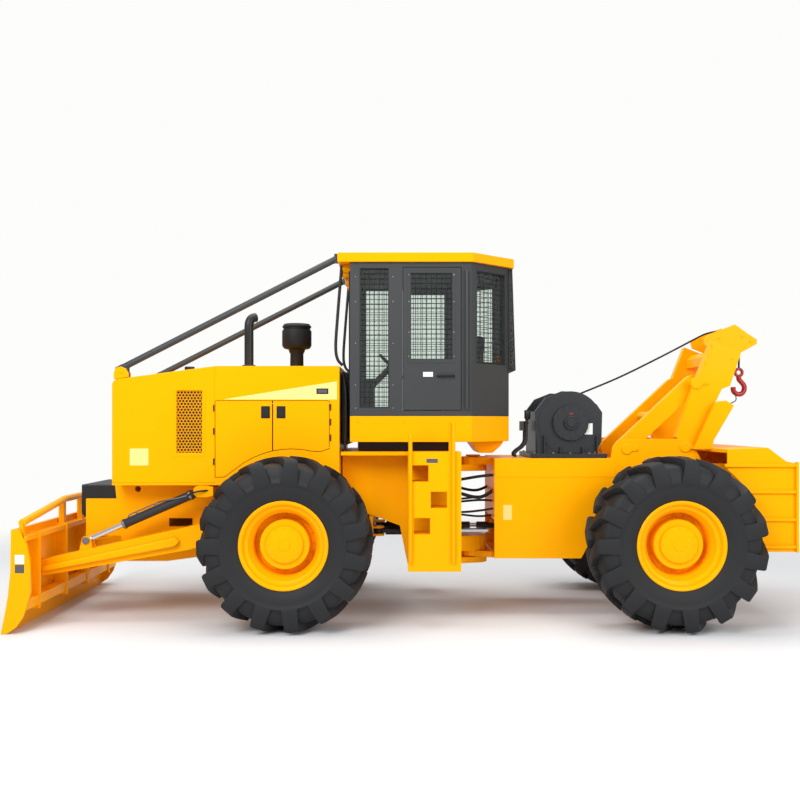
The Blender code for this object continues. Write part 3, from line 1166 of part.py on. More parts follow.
# Blade details
BLADE_FACE = (
    # X, Z of the face from its top edge to the cutting edge
    (-3.997, BLADE_TOP_Z),
    (-4.003, 0.633),
    (-4.028, 0.380),
    (-4.062, 0.188),
    (BLADE_TIP_X, 0),
)
BLADE_EDGE_X = -4.050
END_PLATE_THICKNESS = 0.030
END_PLATE_BACK = (
    # X, Z of the end plate's back, from the floor up
    (-3.951, 0.066),
    (-3.873, 0.178),
    (-3.797, 0.430),
    (-3.807, 0.748),
    (-3.838, 0.906),
    (-3.920, BLADE_TOP_Z),
)
BLADE_RIBS_Z = ((0.940, 0.990), (0.240, 0.340))
BLADE_RIB_BACK_X = -3.845
STIFFENER_Y = (0.330, 1.080)
STIFFENER_HALF_THICKNESS = 0.015
STIFFENER_Z = (0.200, 1.010)
BRUSH_BAR_RADIUS = 0.038
BRUSH_BAR_X = -3.900
BRUSH_BAR_END_Z = 1.125
BRUSH_BAR_PEAK_Z = 1.270
BRUSH_BAR_PEAK_Y = 0.240
BRUSH_POST_Y = 0.280
ARM_UPPER = (
    # X, Z along the upper edge
    (-2.298, 1.031),
    (-3.975, 0.655),
)
ARM_LOWER = (
    # X, Z along the lower edge
    (-3.975, 0.485),
    (-2.332, 0.775),
)
LUG_ROOT_HALF = 0.080


def blade_skin_outline():
    """Section of the curved blade: its face, and the same line one thickness behind."""
    back = [(x + BLADE_THICKNESS, z) for x, z in BLADE_FACE[:-1]]
    return list(BLADE_FACE) + [(BLADE_EDGE_X, 0)] + list(reversed(back))


def make_blade():
    """The stacking blade with end plates, ribs and the brush bar over its top edge."""
    parts = [prism(blade_skin_outline(), -BLADE_HALF_WIDTH + END_PLATE_THICKNESS / 2,
                   BLADE_HALF_WIDTH - END_PLATE_THICKNESS / 2, "y")]
    end_outline = list(BLADE_FACE) + [(BLADE_EDGE_X, 0)] + list(END_PLATE_BACK)
    inside = BLADE_HALF_WIDTH - END_PLATE_THICKNESS / 2
    for z in BLADE_RIBS_Z:
        parts.append(block((BLADE_FACE[1][0] + BLADE_THICKNESS / 2, BLADE_RIB_BACK_X),
                           (-inside, inside), z))
    for side in (-1, 1):
        y = across(side, BLADE_HALF_WIDTH - END_PLATE_THICKNESS, BLADE_HALF_WIDTH)
        parts.append(prism(end_outline, y[0], y[1], "y"))
        for middle in STIFFENER_Y:
            y = across(side, middle - STIFFENER_HALF_THICKNESS, middle + STIFFENER_HALF_THICKNESS)
            parts.append(block((BLADE_FACE[1][0] + BLADE_THICKNESS / 2,
                                BLADE_RIB_BACK_X + STIFFENER_HALF_THICKNESS), y, STIFFENER_Z))
        post_y = across(side, BRUSH_POST_Y - BRUSH_BAR_RADIUS, BRUSH_POST_Y + BRUSH_BAR_RADIUS)
        parts.append(block((BRUSH_BAR_X - BRUSH_BAR_RADIUS, BRUSH_BAR_X + BRUSH_BAR_RADIUS / 2),
                           post_y, (BLADE_RIBS_Z[0][0] + BRUSH_BAR_RADIUS, BRUSH_BAR_PEAK_Z)))
        foot_y = across(side, BLADE_HALF_WIDTH - BRUSH_BAR_RADIUS * 2,
                        BLADE_HALF_WIDTH - END_PLATE_THICKNESS / 2)
        parts.append(block((BRUSH_BAR_X - BRUSH_BAR_RADIUS / 2, BRUSH_BAR_X + BRUSH_BAR_RADIUS / 2),
                           foot_y, (BLADE_TOP_Z - BLADE_THICKNESS * 3, BRUSH_BAR_END_Z)))
    end_y = BLADE_HALF_WIDTH - BRUSH_BAR_RADIUS
    bar = [(BRUSH_BAR_X, -end_y, BRUSH_BAR_END_Z), (BRUSH_BAR_X, -BRUSH_BAR_PEAK_Y, BRUSH_BAR_PEAK_Z),
           (BRUSH_BAR_X, BRUSH_BAR_PEAK_Y, BRUSH_BAR_PEAK_Z), (BRUSH_BAR_X, end_y, BRUSH_BAR_END_Z)]
    parts.append(tube(bar, BRUSH_BAR_RADIUS, 10))
    for side in (-1, 1):
        parts += push_arm(side)
    bore_y = ARM_OUTER_Y + OVERRUN
    bore = rod((ARM_PIVOT_X, -bore_y, ARM_PIVOT_Z), (ARM_PIVOT_X, bore_y, ARM_PIVOT_Z),
               ARM_PIN_RADIUS + BORE_CLEARANCE, 16)
    add("blade", cut(fused(*parts), bore), "yellow_paint", (ARM_PIVOT_X, 0, ARM_PIVOT_Z))


def arm_outline():
    """Side view of a push arm: a tapering box that ends in the pivot's eye."""
    eye = arc((ARM_PIVOT_X, ARM_PIVOT_Z), ARM_EYE_RADIUS, -100, 105, 10)
    return list(ARM_LOWER) + eye + list(ARM_UPPER)


def push_arm(side):
    """A push arm, which the front frame's pin carries, and its ears for the lift rod."""
    y = across(side, ARM_INNER_Y, ARM_OUTER_Y)
    parts = [prism(arm_outline(), y[0], y[1], "y")]
    share = (LIFT_LUG_X - ARM_UPPER[0][0]) / (ARM_UPPER[1][0] - ARM_UPPER[0][0])
    root_z = ARM_UPPER[0][1] + share * (ARM_UPPER[1][1] - ARM_UPPER[0][1]) - LUG_ROOT_HALF / 2
    for ear_y in side_spans(side, LIFT_Y, LIFT_EYE_HALF_WIDTH, LIFT_EAR_THICKNESS):
        outline = arc((LIFT_LUG_X, LIFT_LUG_Z), LIFT_EYE_RADIUS, 0, 180, 6)
        outline += [(LIFT_LUG_X - LUG_ROOT_HALF, root_z), (LIFT_LUG_X + LUG_ROOT_HALF, root_z)]
        parts.append(prism(outline, ear_y[0], ear_y[1], "y"))
    return parts


def barrel(start, end, radius, bore, length, eye):
    """A cylinder's barrel from its eye toward a point, bored from its mouth."""
    begin = LIFT_EAR_RADIUS + RUNNING_GAP * 2
    neck = radius * CYLINDER_NECK_SHARE
    profile = ((0, 0), (neck, 0), (neck, begin), (radius, begin), (radius, length), (bore, length),
               (bore, BORE_BOTTOM), (0, BORE_BOTTOM))
    tube_body = aimed(turned(profile, (0, 0, 0), "z", 14), start, end)
    return fused(tube_body, eye)


def piston_rod(start, end, radius, tail, eye):
    """A rod from a point along the barrel's line to its own eye."""
    run = (Vector(end) - Vector(start)).normalized()
    return fused(rod(Vector(start) + run * tail, Vector(end), radius, 12), eye)


def make_lift_cylinders():
    """Two cylinders that raise the blade: barrels on the frame, rods on the push arms."""
    for name, side in (("left", -1), ("right", 1)):
        start = (LIFT_PIN_X, side * LIFT_Y, LIFT_PIN_Z)
        end = (LIFT_LUG_X, side * LIFT_Y, LIFT_LUG_Z)
        half = LIFT_EYE_HALF_WIDTH
        eyes = [rod((x, side * LIFT_Y - half, z), (x, side * LIFT_Y + half, z), LIFT_EYE_RADIUS, 16)
                for x, y, z in (start, end)]
        add("lift_barrel_" + name,
            barrel(start, end, LIFT_BARREL_RADIUS, LIFT_ROD_RADIUS + BORE_CLEARANCE,
                   LIFT_BARREL_LENGTH, eyes[0]), "slate_paint", (LIFT_PIN_X, 0, LIFT_PIN_Z), 30)
        add("lift_rod_" + name,
            piston_rod(start, end, LIFT_ROD_RADIUS, LIFT_ROD_TAIL, eyes[1]), "chrome",
            (LIFT_PIN_X, 0, LIFT_PIN_Z), 30)


def make_steering_cylinders():
    """Two cylinders across the pivot that turn the rear frame against the front one."""
    for name, side in (("left", -1), ("right", 1)):
        start = (STEER_PIN_X, side * STEER_PIN_Y, STEER_Z)
        end = (STEER_ROD_PIN_X, side * STEER_ROD_PIN_Y, STEER_Z)
        half = STEER_EYE_HALF_HEIGHT
        eyes = [rod((x, y, STEER_Z - half), (x, y, STEER_Z + half), STEER_EYE_RADIUS, 16)
                for x, y, z in (start, end)]
        add("steer_barrel_" + name,
            barrel(start, end, STEER_BARREL_RADIUS, STEER_ROD_RADIUS + BORE_CLEARANCE,
                   STEER_BARREL_LENGTH, eyes[0]), "black_paint", start, 30)
        add("steer_rod_" + name,
            piston_rod(start, end, STEER_ROD_RADIUS, STEER_ROD_TAIL, eyes[1]), "chrome", start, 30)


# Rear frame: the lower edge from the hinge to the tail
REAR_LINE = (
    # X, Z
    (REAR_FRAME_X, REAR_FRAME_BOTTOM_Z),
    (1.950, REAR_FRAME_BOTTOM_Z),
    (2.230, FRAME_ARCH_Z),
    (3.330, FRAME_ARCH_Z),
    (3.560, 0.820),
    (REAR_FRAME_END_X, 0.820),
)
REAR_TOP_LINE = (
    # X, Z along the upper edge from the tail forward
    (REAR_FRAME_END_X, 1.690),
    (3.300, 1.690),
    (3.210, 1.877),
    (3.130, ARCH_BRACKET_TOP_Z),
    (2.380, ARCH_BRACKET_TOP_Z),
    (2.300, 1.880),
    (2.280, REAR_FRAME_TOP_Z),
)
REAR_DECK_END_X = 2.320
REAR_UPPER_BULKHEAD_Z = (1.060, 1.720)
REAR_LOWER_PLATE_END_X = 1.300
REAR_CROSS_X = (3.400, 3.440)

# Arch: a pair of leaning columns held by struts, a head with a roller
COLUMN_FOOT = (3.101, 1.872)
COLUMN_OUTLINE = (
    # X, Z round a column, from its foot up the front edge and down the rear edge
    (3.005, 1.985),
    (3.283, 2.732),
    (3.412, 3.060),
    (3.740, 2.930),
    (3.615, 2.553),
    (3.524, 2.517),
    (3.219, 1.890),
)
COLUMN_FOOT_RADIUS = 0.095
HEAD_OUTLINE = (
    # X, Z round a head plate
    (3.417, 3.103),
    (3.494, 3.161),
    (3.781, 3.269),
    (3.922, 3.166),
    (4.030, 3.096),
    (4.030, 3.045),
    (3.762, 2.898),
    (3.435, 3.030),
)
HEAD_BEAM = (
    # X, Z round the beam between the columns, which runs under the rope
    (3.430, 2.900),
    (3.500, 2.960),
    (3.720, 2.960),
    (3.700, 2.830),
    (3.430, 2.800),
)
HEAD_HALF_WIDTH = 0.230
HEAD_PLATE = 0.030
STRUT_FOOT = (2.455, 1.850)
STRUT_HEAD = (3.239, 2.584)
STRUT_RADIUS = 0.095
STRUT_THICKNESS = 0.090
STRUT_INNER_Y = 0.300
ROLLER_XZ = (3.830, 3.060)
ROLLER_RADIUS = 0.085
ROLLER_JOURNAL_RADIUS = 0.035
ROLLER_WAIST_SHARE = 0.80
COLUMN_TIE_RADIUS = 0.055
ROPE_RADIUS = 0.011
ROPE_LAY_RADIUS = DRUM_RADIUS + ROPE_RADIUS + SEAT_GAP * 3
ROPE_ARC_STEPS = 8
HOOK_EYE_Z = 2.730
HOOK_EYE_RADIUS = 0.055
HOOK_BAR_RADIUS = 0.022
HOOK_BOWL_RADIUS = 0.085
HOOK_BOWL_Z = 2.540

# Winch details
WINCH_PLATE_SHARES = (
    # X share, Z share round a side plate
    (0.10, 0.00),
    (0.07, 0.70),
    (0.20, 0.90),
    (0.42, 1.00),
    (0.62, 0.99),
    (0.88, 0.80),
    (0.95, 0.68),
    (0.94, 0.24),
    (0.80, 0.00),
)
WINCH_PLATE = 0.060
WINCH_BASE_HEIGHT = 0.050
WINCH_CASE_RADIUS = 0.200
WINCH_CASE_DEPTH = 0.050
WINCH_BACK_X = (1.440, 1.500)
DRUM_FLANGE_THICKNESS = 0.030
DRUM_JOURNAL_RADIUS = 0.070
DRUM_SIDES = 20

# Butt plate behind the rear wheels
BUTT_HALF_WIDTH = 1.100
BUTT_PLATE_X = (4.010, 4.050)
BUTT_PLATE_Z = (0.790, 1.720)
BUTT_RIBS_Z = (0.845, 1.130, 1.420)
BUTT_RIB_HALF = 0.018
BUTT_DECK = (
    # X, Z along the deck's top from its front edge to the plate
    (3.360, 1.865),
    (3.790, 1.882),
    (3.980, 1.740),
    (4.090, 1.715),
)
BUTT_GUSSET_Y = (0.5503, 0.5850)
BUTT_GUSSET_X = 3.730
BUTT_POST = (
    # X, Z of the post's outline
    (3.413, 1.860),
    (3.446, 2.339),
    (3.535, 2.384),
    (3.646, 2.339),
    (3.620, 1.860),
)
BUTT_POST_Y = (0.560, 0.640)


def make_rear_frame():
    """The rear frame: side plates with the arch's brackets, deck, bulkheads and hinge plates."""
    inner = REAR_HALF_WIDTH - REAR_PLATE
    cross = (-inner - REAR_PLATE / 2, inner + REAR_PLATE / 2)
    front_top = (REAR_FRAME_X, REAR_FRAME_TOP_Z)
    side_view = list(REAR_LINE) + list(REAR_TOP_LINE) + [front_top]
    parts = []
    for side in (-1, 1):
        y = across(side, inner, REAR_HALF_WIDTH)
        parts.append(prism(side_view, y[0], y[1], "y"))
        y_pin = side * STEER_ROD_PIN_Y
        root_y = side * (inner + REAR_PLATE / 2)
        for z in eye_gap_spans(STEER_Z, STEER_EYE_HALF_HEIGHT, STEER_EAR_THICKNESS):
            outline = [(STEER_ROD_PIN_X - STEER_EAR_RADIUS, root_y)]
            outline += arc((STEER_ROD_PIN_X, y_pin), STEER_EAR_RADIUS, 180, 180 + side * 180, 6)
            outline.append((STEER_ROD_PIN_X + STEER_EAR_RADIUS, root_y))
            parts.append(prism(outline, z[0], z[1], "z"))
    deck = (REAR_FRAME_TOP_Z - PLATE, REAR_FRAME_TOP_Z)
    parts.append(block((REAR_FRAME_X, REAR_DECK_END_X), cross, deck))
    parts.append(block((REAR_FRAME_X, REAR_FRAME_X + PLATE), cross, REAR_UPPER_BULKHEAD_Z))
    parts.append(block((REAR_FRAME_X, REAR_LOWER_PLATE_END_X), cross,
                       (REAR_FRAME_BOTTOM_Z, REAR_FRAME_BOTTOM_Z + PLATE)))
    belly = [point for point in REAR_LINE if point[0] >= REAR_LINE[2][0]]
    parts.append(prism(strip(belly, PLATE), cross[0], cross[1], "y"))
    parts.append(block(REAR_CROSS_X, cross, (FRAME_ARCH_Z, REAR_TOP_LINE[0][1] - PLATE)))
    root_x = REAR_FRAME_X + PLATE / 2
    parts.append(pivot_ear(root_x, UPPER_REAR_EAR))
    parts.append(pivot_ear(root_x, LOWER_REAR_EAR))
    parts.append(block((REAR_FRAME_X, REAR_FRAME_X + PLATE * 2),
                       (-EAR_ROOT_HALF_WIDTH, EAR_ROOT_HALF_WIDTH),
                       (LOWER_REAR_EAR[0], REAR_FRAME_BOTTOM_Z + PLATE)))
    bores = []
    for z in (UPPER_REAR_EAR, LOWER_REAR_EAR):
        bores.append(rod((PIVOT_X, 0, z[0] - RUNNING_GAP), (PIVOT_X, 0, z[1] + RUNNING_GAP),
                         PIVOT_PIN_RADIUS + PIVOT_PIN_CLEARANCE, PIVOT_SIDES))
    add("rear_frame", cut(fused(*parts), *bores), "yellow_paint")


def make_rear_drive():
    """The rear axle and the shaft that meets the front one at the pivot."""
    rear_input = REAR_AXLE_X - AXLE_CASE_RADIUS - PLATE * 2
    joint_x = PIVOT_X + SHAFT_JOINT_GAP
    end_x = rear_input + PLATE / 2
    parts = [rod((joint_x + SHAFT_YOKE_LENGTH / 2, 0, SHAFT_Z), (end_x, 0, WHEEL_Z), SHAFT_RADIUS),
             rod((joint_x, 0, SHAFT_Z), (joint_x + SHAFT_YOKE_LENGTH, 0, SHAFT_Z), SHAFT_YOKE_RADIUS),
             rod((end_x - SHAFT_YOKE_LENGTH, 0, WHEEL_Z), (end_x, 0, WHEEL_Z), SHAFT_YOKE_RADIUS)]
    body = fused(axle(REAR_AXLE_X, FRAME_ARCH_Z, rear_input), *parts)
    add("rear_axle", body, "black_paint", smooth_deg=30)


def make_winch():
    """The winch housing on the rear deck, and the drum that turns between its side plates."""
    bottom = REAR_FRAME_TOP_Z + SEAT_GAP
    length, rise = WINCH_X[1] - WINCH_X[0], WINCH_TOP_Z - bottom
    outline = [(WINCH_X[0] + length * a, bottom + rise * b) for a, b in WINCH_PLATE_SHARES]
    parts = [block(WINCH_X, (-WINCH_HALF_WIDTH, WINCH_HALF_WIDTH),
                   (bottom, bottom + WINCH_BASE_HEIGHT))]
    inner = WINCH_HALF_WIDTH - WINCH_PLATE - WINCH_CASE_DEPTH
    for side in (-1, 1):
        y = across(side, inner, inner + WINCH_PLATE)
        parts.append(prism(outline, y[0], y[1], "y"))
        case = [(WINCH_HUB_X, side * (inner + WINCH_PLATE / 2), WINCH_HUB_Z),
                (WINCH_HUB_X, side * WINCH_HALF_WIDTH, WINCH_HUB_Z)]
        parts.append(rod(case[0], case[1], WINCH_CASE_RADIUS, DRUM_SIDES))
    parts.append(block((WINCH_BACK_X[0] + WINCH_PLATE / 2, WINCH_BACK_X[1] + WINCH_PLATE / 2),
                       (-inner - WINCH_PLATE / 2, inner + WINCH_PLATE / 2),
                       (bottom, bottom + rise * WINCH_PLATE_SHARES[1][1])))
    add("winch_housing", fused(*parts), "slate_paint")
    flange_y = inner - RUNNING_GAP
    drum_y = flange_y - DRUM_FLANGE_THICKNESS
    end_y = inner - SEAT_GAP
    half = ((DRUM_JOURNAL_RADIUS, end_y), (DRUM_JOURNAL_RADIUS, flange_y),
            (DRUM_FLANGE_RADIUS, flange_y), (DRUM_FLANGE_RADIUS, drum_y), (DRUM_RADIUS, drum_y))
    profile = [(0, -end_y)] + [(r, -y) for r, y in half]
    profile += [(r, y) for r, y in reversed(half)] + [(0, end_y)]
    centre = (WINCH_HUB_X, 0, WINCH_HUB_Z)
    add("winch_drum", turned(profile, centre, "y", DRUM_SIDES), "cast_steel", centre, 30)


def make_arch():
    """The arch: two leaning columns, their ties and head plates, and the rigid struts."""
    inner = ARCH_OUTER_Y - ARCH_COLUMN_THICKNESS
    parts = []
    for side in (-1, 1):
        y = across(side, inner, ARCH_OUTER_Y)
        parts.append(prism(COLUMN_OUTLINE, y[0], y[1], "y"))
        parts.append(rod((COLUMN_FOOT[0], y[0], COLUMN_FOOT[1] + COLUMN_FOOT_RADIUS / 3),
                         (COLUMN_FOOT[0], y[1], COLUMN_FOOT[1] + COLUMN_FOOT_RADIUS / 3),
                         COLUMN_FOOT_RADIUS, 16))
        head_y = across(side, HEAD_HALF_WIDTH - HEAD_PLATE, HEAD_HALF_WIDTH)
        parts.append(prism(HEAD_OUTLINE, head_y[0], head_y[1], "y"))
    middle_z = (COLUMN_OUTLINE[1][1] + COLUMN_OUTLINE[4][1]) / 2
    middle_x = (COLUMN_OUTLINE[1][0] + COLUMN_OUTLINE[4][0]) / 2
    reach = inner + ARCH_COLUMN_THICKNESS / 2
    parts.append(rod((middle_x, -reach, middle_z), (middle_x, reach, middle_z),
                     COLUMN_TIE_RADIUS, 12))
    parts.append(prism(HEAD_BEAM, -reach, reach, "y"))
    add("arch_columns", fused(*parts), "yellow_paint")
    struts = []
    y = (STRUT_INNER_Y, STRUT_INNER_Y + STRUT_THICKNESS)
    for side in (-1, 1):
        span = across(side, *y)
        struts.append(prism(link(STRUT_FOOT, STRUT_HEAD, STRUT_RADIUS, STRUT_RADIUS),
                            span[0], span[1], "y"))
        pin = across(side, y[1] - STRUT_THICKNESS / 2, inner - SEAT_GAP)
        struts.append(rod((STRUT_HEAD[0], pin[0], STRUT_HEAD[1]), (STRUT_HEAD[0], pin[1], STRUT_HEAD[1]),
                          COLUMN_TIE_RADIUS, 12))
        foot = across(side, y[1] - STRUT_THICKNESS / 2, REAR_HALF_WIDTH - REAR_PLATE - SEAT_GAP)
        struts.append(rod((STRUT_FOOT[0], foot[0], STRUT_FOOT[1]), (STRUT_FOOT[0], foot[1], STRUT_FOOT[1]),
                          COLUMN_TIE_RADIUS, 12))
    tie = (STRUT_FOOT[0] + (STRUT_HEAD[0] - STRUT_FOOT[0]) / 2,
           STRUT_FOOT[1] + (STRUT_HEAD[1] - STRUT_FOOT[1]) / 2)
    reach = STRUT_INNER_Y + STRUT_THICKNESS / 2
    struts.append(rod((tie[0], -reach, tie[1]), (tie[0], reach, tie[1]), COLUMN_TIE_RADIUS, 12))
    add("arch_struts", fused(*struts), "yellow_paint")


def make_roller():
    """The roller in the arch's head that the rope runs over."""
    half = HEAD_HALF_WIDTH - HEAD_PLATE - RUNNING_GAP
    end_y = HEAD_HALF_WIDTH - HEAD_PLATE - SEAT_GAP
    side = ((ROLLER_JOURNAL_RADIUS, end_y), (ROLLER_JOURNAL_RADIUS, half), (ROLLER_RADIUS, half),
            (ROLLER_RADIUS * ROLLER_WAIST_SHARE, half / 2))
    profile = [(0, -end_y)] + [(r, -y) for r, y in side]
    profile += [(r, y) for r, y in reversed(side)] + [(0, end_y)]
    centre = (ROLLER_XZ[0], 0, ROLLER_XZ[1])
    add("arch_roller", turned(profile, centre, "y", 16), "cast_steel", centre, 40)


def make_rope():
    """The taut winch rope from the drum over the roller to the hook, and the hook."""
    lay = ROPE_LAY_RADIUS
    over = ROLLER_RADIUS * ROLLER_WAIST_SHARE + ROPE_RADIUS + SEAT_GAP * 4
    slope = math.atan2(ROLLER_XZ[1] - WINCH_HUB_Z, ROLLER_XZ[0] - WINCH_HUB_X)
    lift = math.degrees(slope) + 90
    start = (WINCH_HUB_X + lay * math.cos(math.radians(lift)),
             WINCH_HUB_Z + lay * math.sin(math.radians(lift)))
    bend = arc(ROLLER_XZ, over, lift, 0, ROPE_ARC_STEPS)
    route = [start] + bend + [(bend[-1][0], HOOK_EYE_Z + HOOK_EYE_RADIUS + SEAT_GAP)]
    add("winch_rope", tube([(x, 0, z) for x, z in route], ROPE_RADIUS, 8), "wire_rope",
        smooth_deg=60)
    x = bend[-1][0]
    ring = [(HOOK_EYE_RADIUS - HOOK_BAR_RADIUS + HOOK_BAR_RADIUS * a, HOOK_BAR_RADIUS * b)
            for a, b in arc((0, 0), 1, 0, 300, 5)]
    eye = turned(ring, (x, 0, HOOK_EYE_Z), "y", 16, closed=True)
    bowl = arc((x, HOOK_BOWL_Z), HOOK_BOWL_RADIUS - HOOK_BAR_RADIUS, 90, 360, 9)
    hook = tube([(x, 0, HOOK_EYE_Z - HOOK_EYE_RADIUS + HOOK_BAR_RADIUS)]
                + [(a, 0, b) for a, b in bowl], HOOK_BAR_RADIUS, 8)
    add("choker_hook", fused(eye, hook), "red_paint", smooth_deg=50)


def make_butt_plate():
    """The ribbed butt plate, its sloped deck, gussets and the post on the deck."""
    whole = (-BUTT_HALF_WIDTH, BUTT_HALF_WIDTH)
    deck = list(BUTT_DECK) + [(x, z - PLATE) for x, z in reversed(BUTT_DECK)]
    parts = [prism(deck, whole[0], whole[1], "y"),
             block(BUTT_PLATE_X, whole, BUTT_PLATE_Z)]
    for z in BUTT_RIBS_Z:
        parts.append(block((BUTT_PLATE_X[0] + PLATE / 2, REAR_END_X), whole,
                           (z - BUTT_RIB_HALF, z + BUTT_RIB_HALF)))
    rail_z = (BUTT_DECK[3][1] - PLATE, BUTT_DECK[3][1])
    parts.append(block((BUTT_PLATE_X[0], REAR_END_X), whole, rail_z))
    gusset = [(BUTT_GUSSET_X, BUTT_PLATE_Z[0] + OVERRUN), (BUTT_PLATE_X[0] + PLATE / 2, BUTT_PLATE_Z[0]),
              (BUTT_PLATE_X[0] + PLATE / 2, BUTT_DECK[3][1]), (BUTT_DECK[1][0], BUTT_DECK[1][1] - PLATE / 2),
              (BUTT_GUSSET_X, BUTT_DECK[1][1] - PLATE / 2)]
    for side in (-1, 1):
        for y_pair in (BUTT_GUSSET_Y, (BUTT_HALF_WIDTH - PLATE, BUTT_HALF_WIDTH)):
            y = across(side, *y_pair)
            parts.append(prism(gusset, y[0], y[1], "y"))
        y = across(side, *BUTT_POST_Y)
        parts.append(prism(BUTT_POST, y[0], y[1], "y"))
    add("butt_plate", fused(*parts), "yellow_paint")


clear_scene()
make_wheels()
make_front_frame()
make_front_guard()
make_front_drive()
make_hood_nose()
make_hood_body()
make_engine_doors()
make_engine()
make_risers()
make_cab()
make_interior()
make_steps()
make_blade()
make_lift_cylinders()
make_steering_cylinders()
make_rear_frame()
make_rear_drive()
make_winch()
make_arch()
make_roller()
make_rope()
make_butt_plate()
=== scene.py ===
# %% [markdown]
# # Cable skidder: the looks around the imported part
#
# A four-wheel forestry skidder stands in a white studio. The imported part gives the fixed
# frame. This lesson dresses it in real finishes and adds what the plain part leaves out.
# The cells follow the machine from the ground up: wheels, blade, hood, cab, winch, arch.

# %% [markdown]
# ## The frame, and how its size is kept

# %%
import json
from math import cos, pi, radians, sin, sqrt

import bmesh
import bpy
from mathutils import Matrix, Vector


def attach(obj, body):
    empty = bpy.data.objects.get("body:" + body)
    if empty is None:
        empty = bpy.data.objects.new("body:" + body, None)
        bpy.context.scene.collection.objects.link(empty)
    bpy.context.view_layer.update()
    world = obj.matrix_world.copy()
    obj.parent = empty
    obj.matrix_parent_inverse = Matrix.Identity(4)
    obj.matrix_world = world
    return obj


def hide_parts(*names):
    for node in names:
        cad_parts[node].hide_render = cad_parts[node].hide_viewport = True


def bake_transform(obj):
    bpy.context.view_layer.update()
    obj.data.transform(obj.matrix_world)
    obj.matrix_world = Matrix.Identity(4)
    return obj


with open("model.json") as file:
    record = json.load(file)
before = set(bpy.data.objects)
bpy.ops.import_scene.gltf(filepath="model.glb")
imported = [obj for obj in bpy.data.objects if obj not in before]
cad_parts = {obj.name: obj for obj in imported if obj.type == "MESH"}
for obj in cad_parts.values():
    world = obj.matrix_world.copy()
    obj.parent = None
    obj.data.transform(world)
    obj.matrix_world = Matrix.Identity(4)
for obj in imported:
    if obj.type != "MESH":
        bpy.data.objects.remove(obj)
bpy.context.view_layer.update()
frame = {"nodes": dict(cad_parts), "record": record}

scene = bpy.context.scene

# %% [markdown]
# ## Colour and node helpers
#
# One function turns a hex colour into linear light. One adds a node, one empties a tree.

# %%


def hex_colour(code):
    """Linear RGBA of an sRGB hex code."""
    out = []
    for start in (0, 2, 4):
        share = int(code[start:start + 2], 16) / 255
        out.append(share / 12.92 if share <= 0.04045 else ((share + 0.055) / 1.055) ** 2.4)
    return (*out, 1.0)


def add_node(tree, kind, inputs=(), **settings):
    """A node of one kind, with its settings and its inputs' values or links."""
    made = tree.nodes.new(kind)
    for key, value in settings.items():
        setattr(made, key, value)
    for key, value in dict(inputs).items():
        if isinstance(value, bpy.types.NodeSocket):
            tree.links.new(value, made.inputs[key])
        else:
            made.inputs[key].default_value = value
    return made


def empty_tree(owner):
    """The node tree of a material or a world, emptied."""
    owner.use_nodes = True
    owner.node_tree.nodes.clear()
    return owner.node_tree


# %% [markdown]
# ## Finishes
#
# Each material has the name of a real finish. Pattern sizes are given in millimetres.

# %%
# Finish: colour, darker shade, roughness, metallic, coat, grain in mm, bump in mm
# The yellow paint's reflections take its own tint, as pigment under a thin clear film does
FINISHES = {
    "chassis_yellow_enamel": ("FFAE05", "FFA603", 0.38, 0.0, 0.06, 60.0, 0.10),
    "cab_graphite_powder_coat": ("3A3C3D", "323435", 0.50, 0.0, 0.0, 4.0, 0.12),
    "winch_slate_enamel": ("24272B", "1D2023", 0.40, 0.0, 0.08, 40.0, 0.10),
    "black_chassis_paint": ("1B1C1E", "141516", 0.50, 0.0, 0.1, 20.0, 0.15),
    "tyre_rubber": ("1D1E20", "161719", 0.62, 0.0, 0.0, 9.0, 0.30),
    "worn_cast_steel": ("34353A", "26272A", 0.48, 0.7, 0.0, 12.0, 0.20),
    "hard_chrome": ("D9DBDE", "C9CBD0", 0.10, 1.0, 0.0, 30.0, 0.0),
    "ground_steel": ("8B8D90", "76787B", 0.32, 1.0, 0.0, 8.0, 0.10),
    "wire_rope_steel": ("2B2B2C", "1D1D1E", 0.45, 0.8, 0.0, 3.0, 0.15),
    "hook_red_enamel": ("B3141F", "98101A", 0.30, 0.0, 0.4, 20.0, 0.05),
    "seat_charcoal_cloth": ("2A2B2E", "1E1F22", 0.92, 0.0, 0.0, 2.0, 0.50),
    "grained_black_plastic": ("17181A", "101113", 0.62, 0.0, 0.0, 1.5, 0.15),
    "hose_black_rubber": ("121314", "0C0D0E", 0.46, 0.0, 0.0, 6.0, 0.10),
    "zinc_plated_bolts": ("A9A79E", "8D8B84", 0.35, 1.0, 0.0, 6.0, 0.05),
    "blank_white_decal": ("F2F2EE", "E9E9E4", 0.45, 0.0, 0.1, 30.0, 0.0),
    "blank_cream_decal": ("FFE58A", "FFDF78", 0.40, 0.0, 0.2, 30.0, 0.0),
    "blank_straw_decal": ("E8D27A", "DEC76C", 0.50, 0.0, 0.1, 30.0, 0.0),
    "blank_grey_decal": ("54555C", "4B4C52", 0.45, 0.0, 0.1, 30.0, 0.0),
    "lamp_clear_lens": ("E6EAEE", "DDE2E6", 0.08, 0.3, 0.6, 12.0, 0.0),
}
MATERIALS = {}
# Scale of the broad shade change, spread of the roughness, and strengths of reflection
BROAD_SCALE, ROUGH_PLAY, METAL_SHEEN, PAINT_SHEEN, GLASS_GLOSS = 1.3, 0.12, 0.5, 0.34, 0.05
# The two bodies that most pieces ride on
FRONT, REAR = "front_frame", "rear_frame"
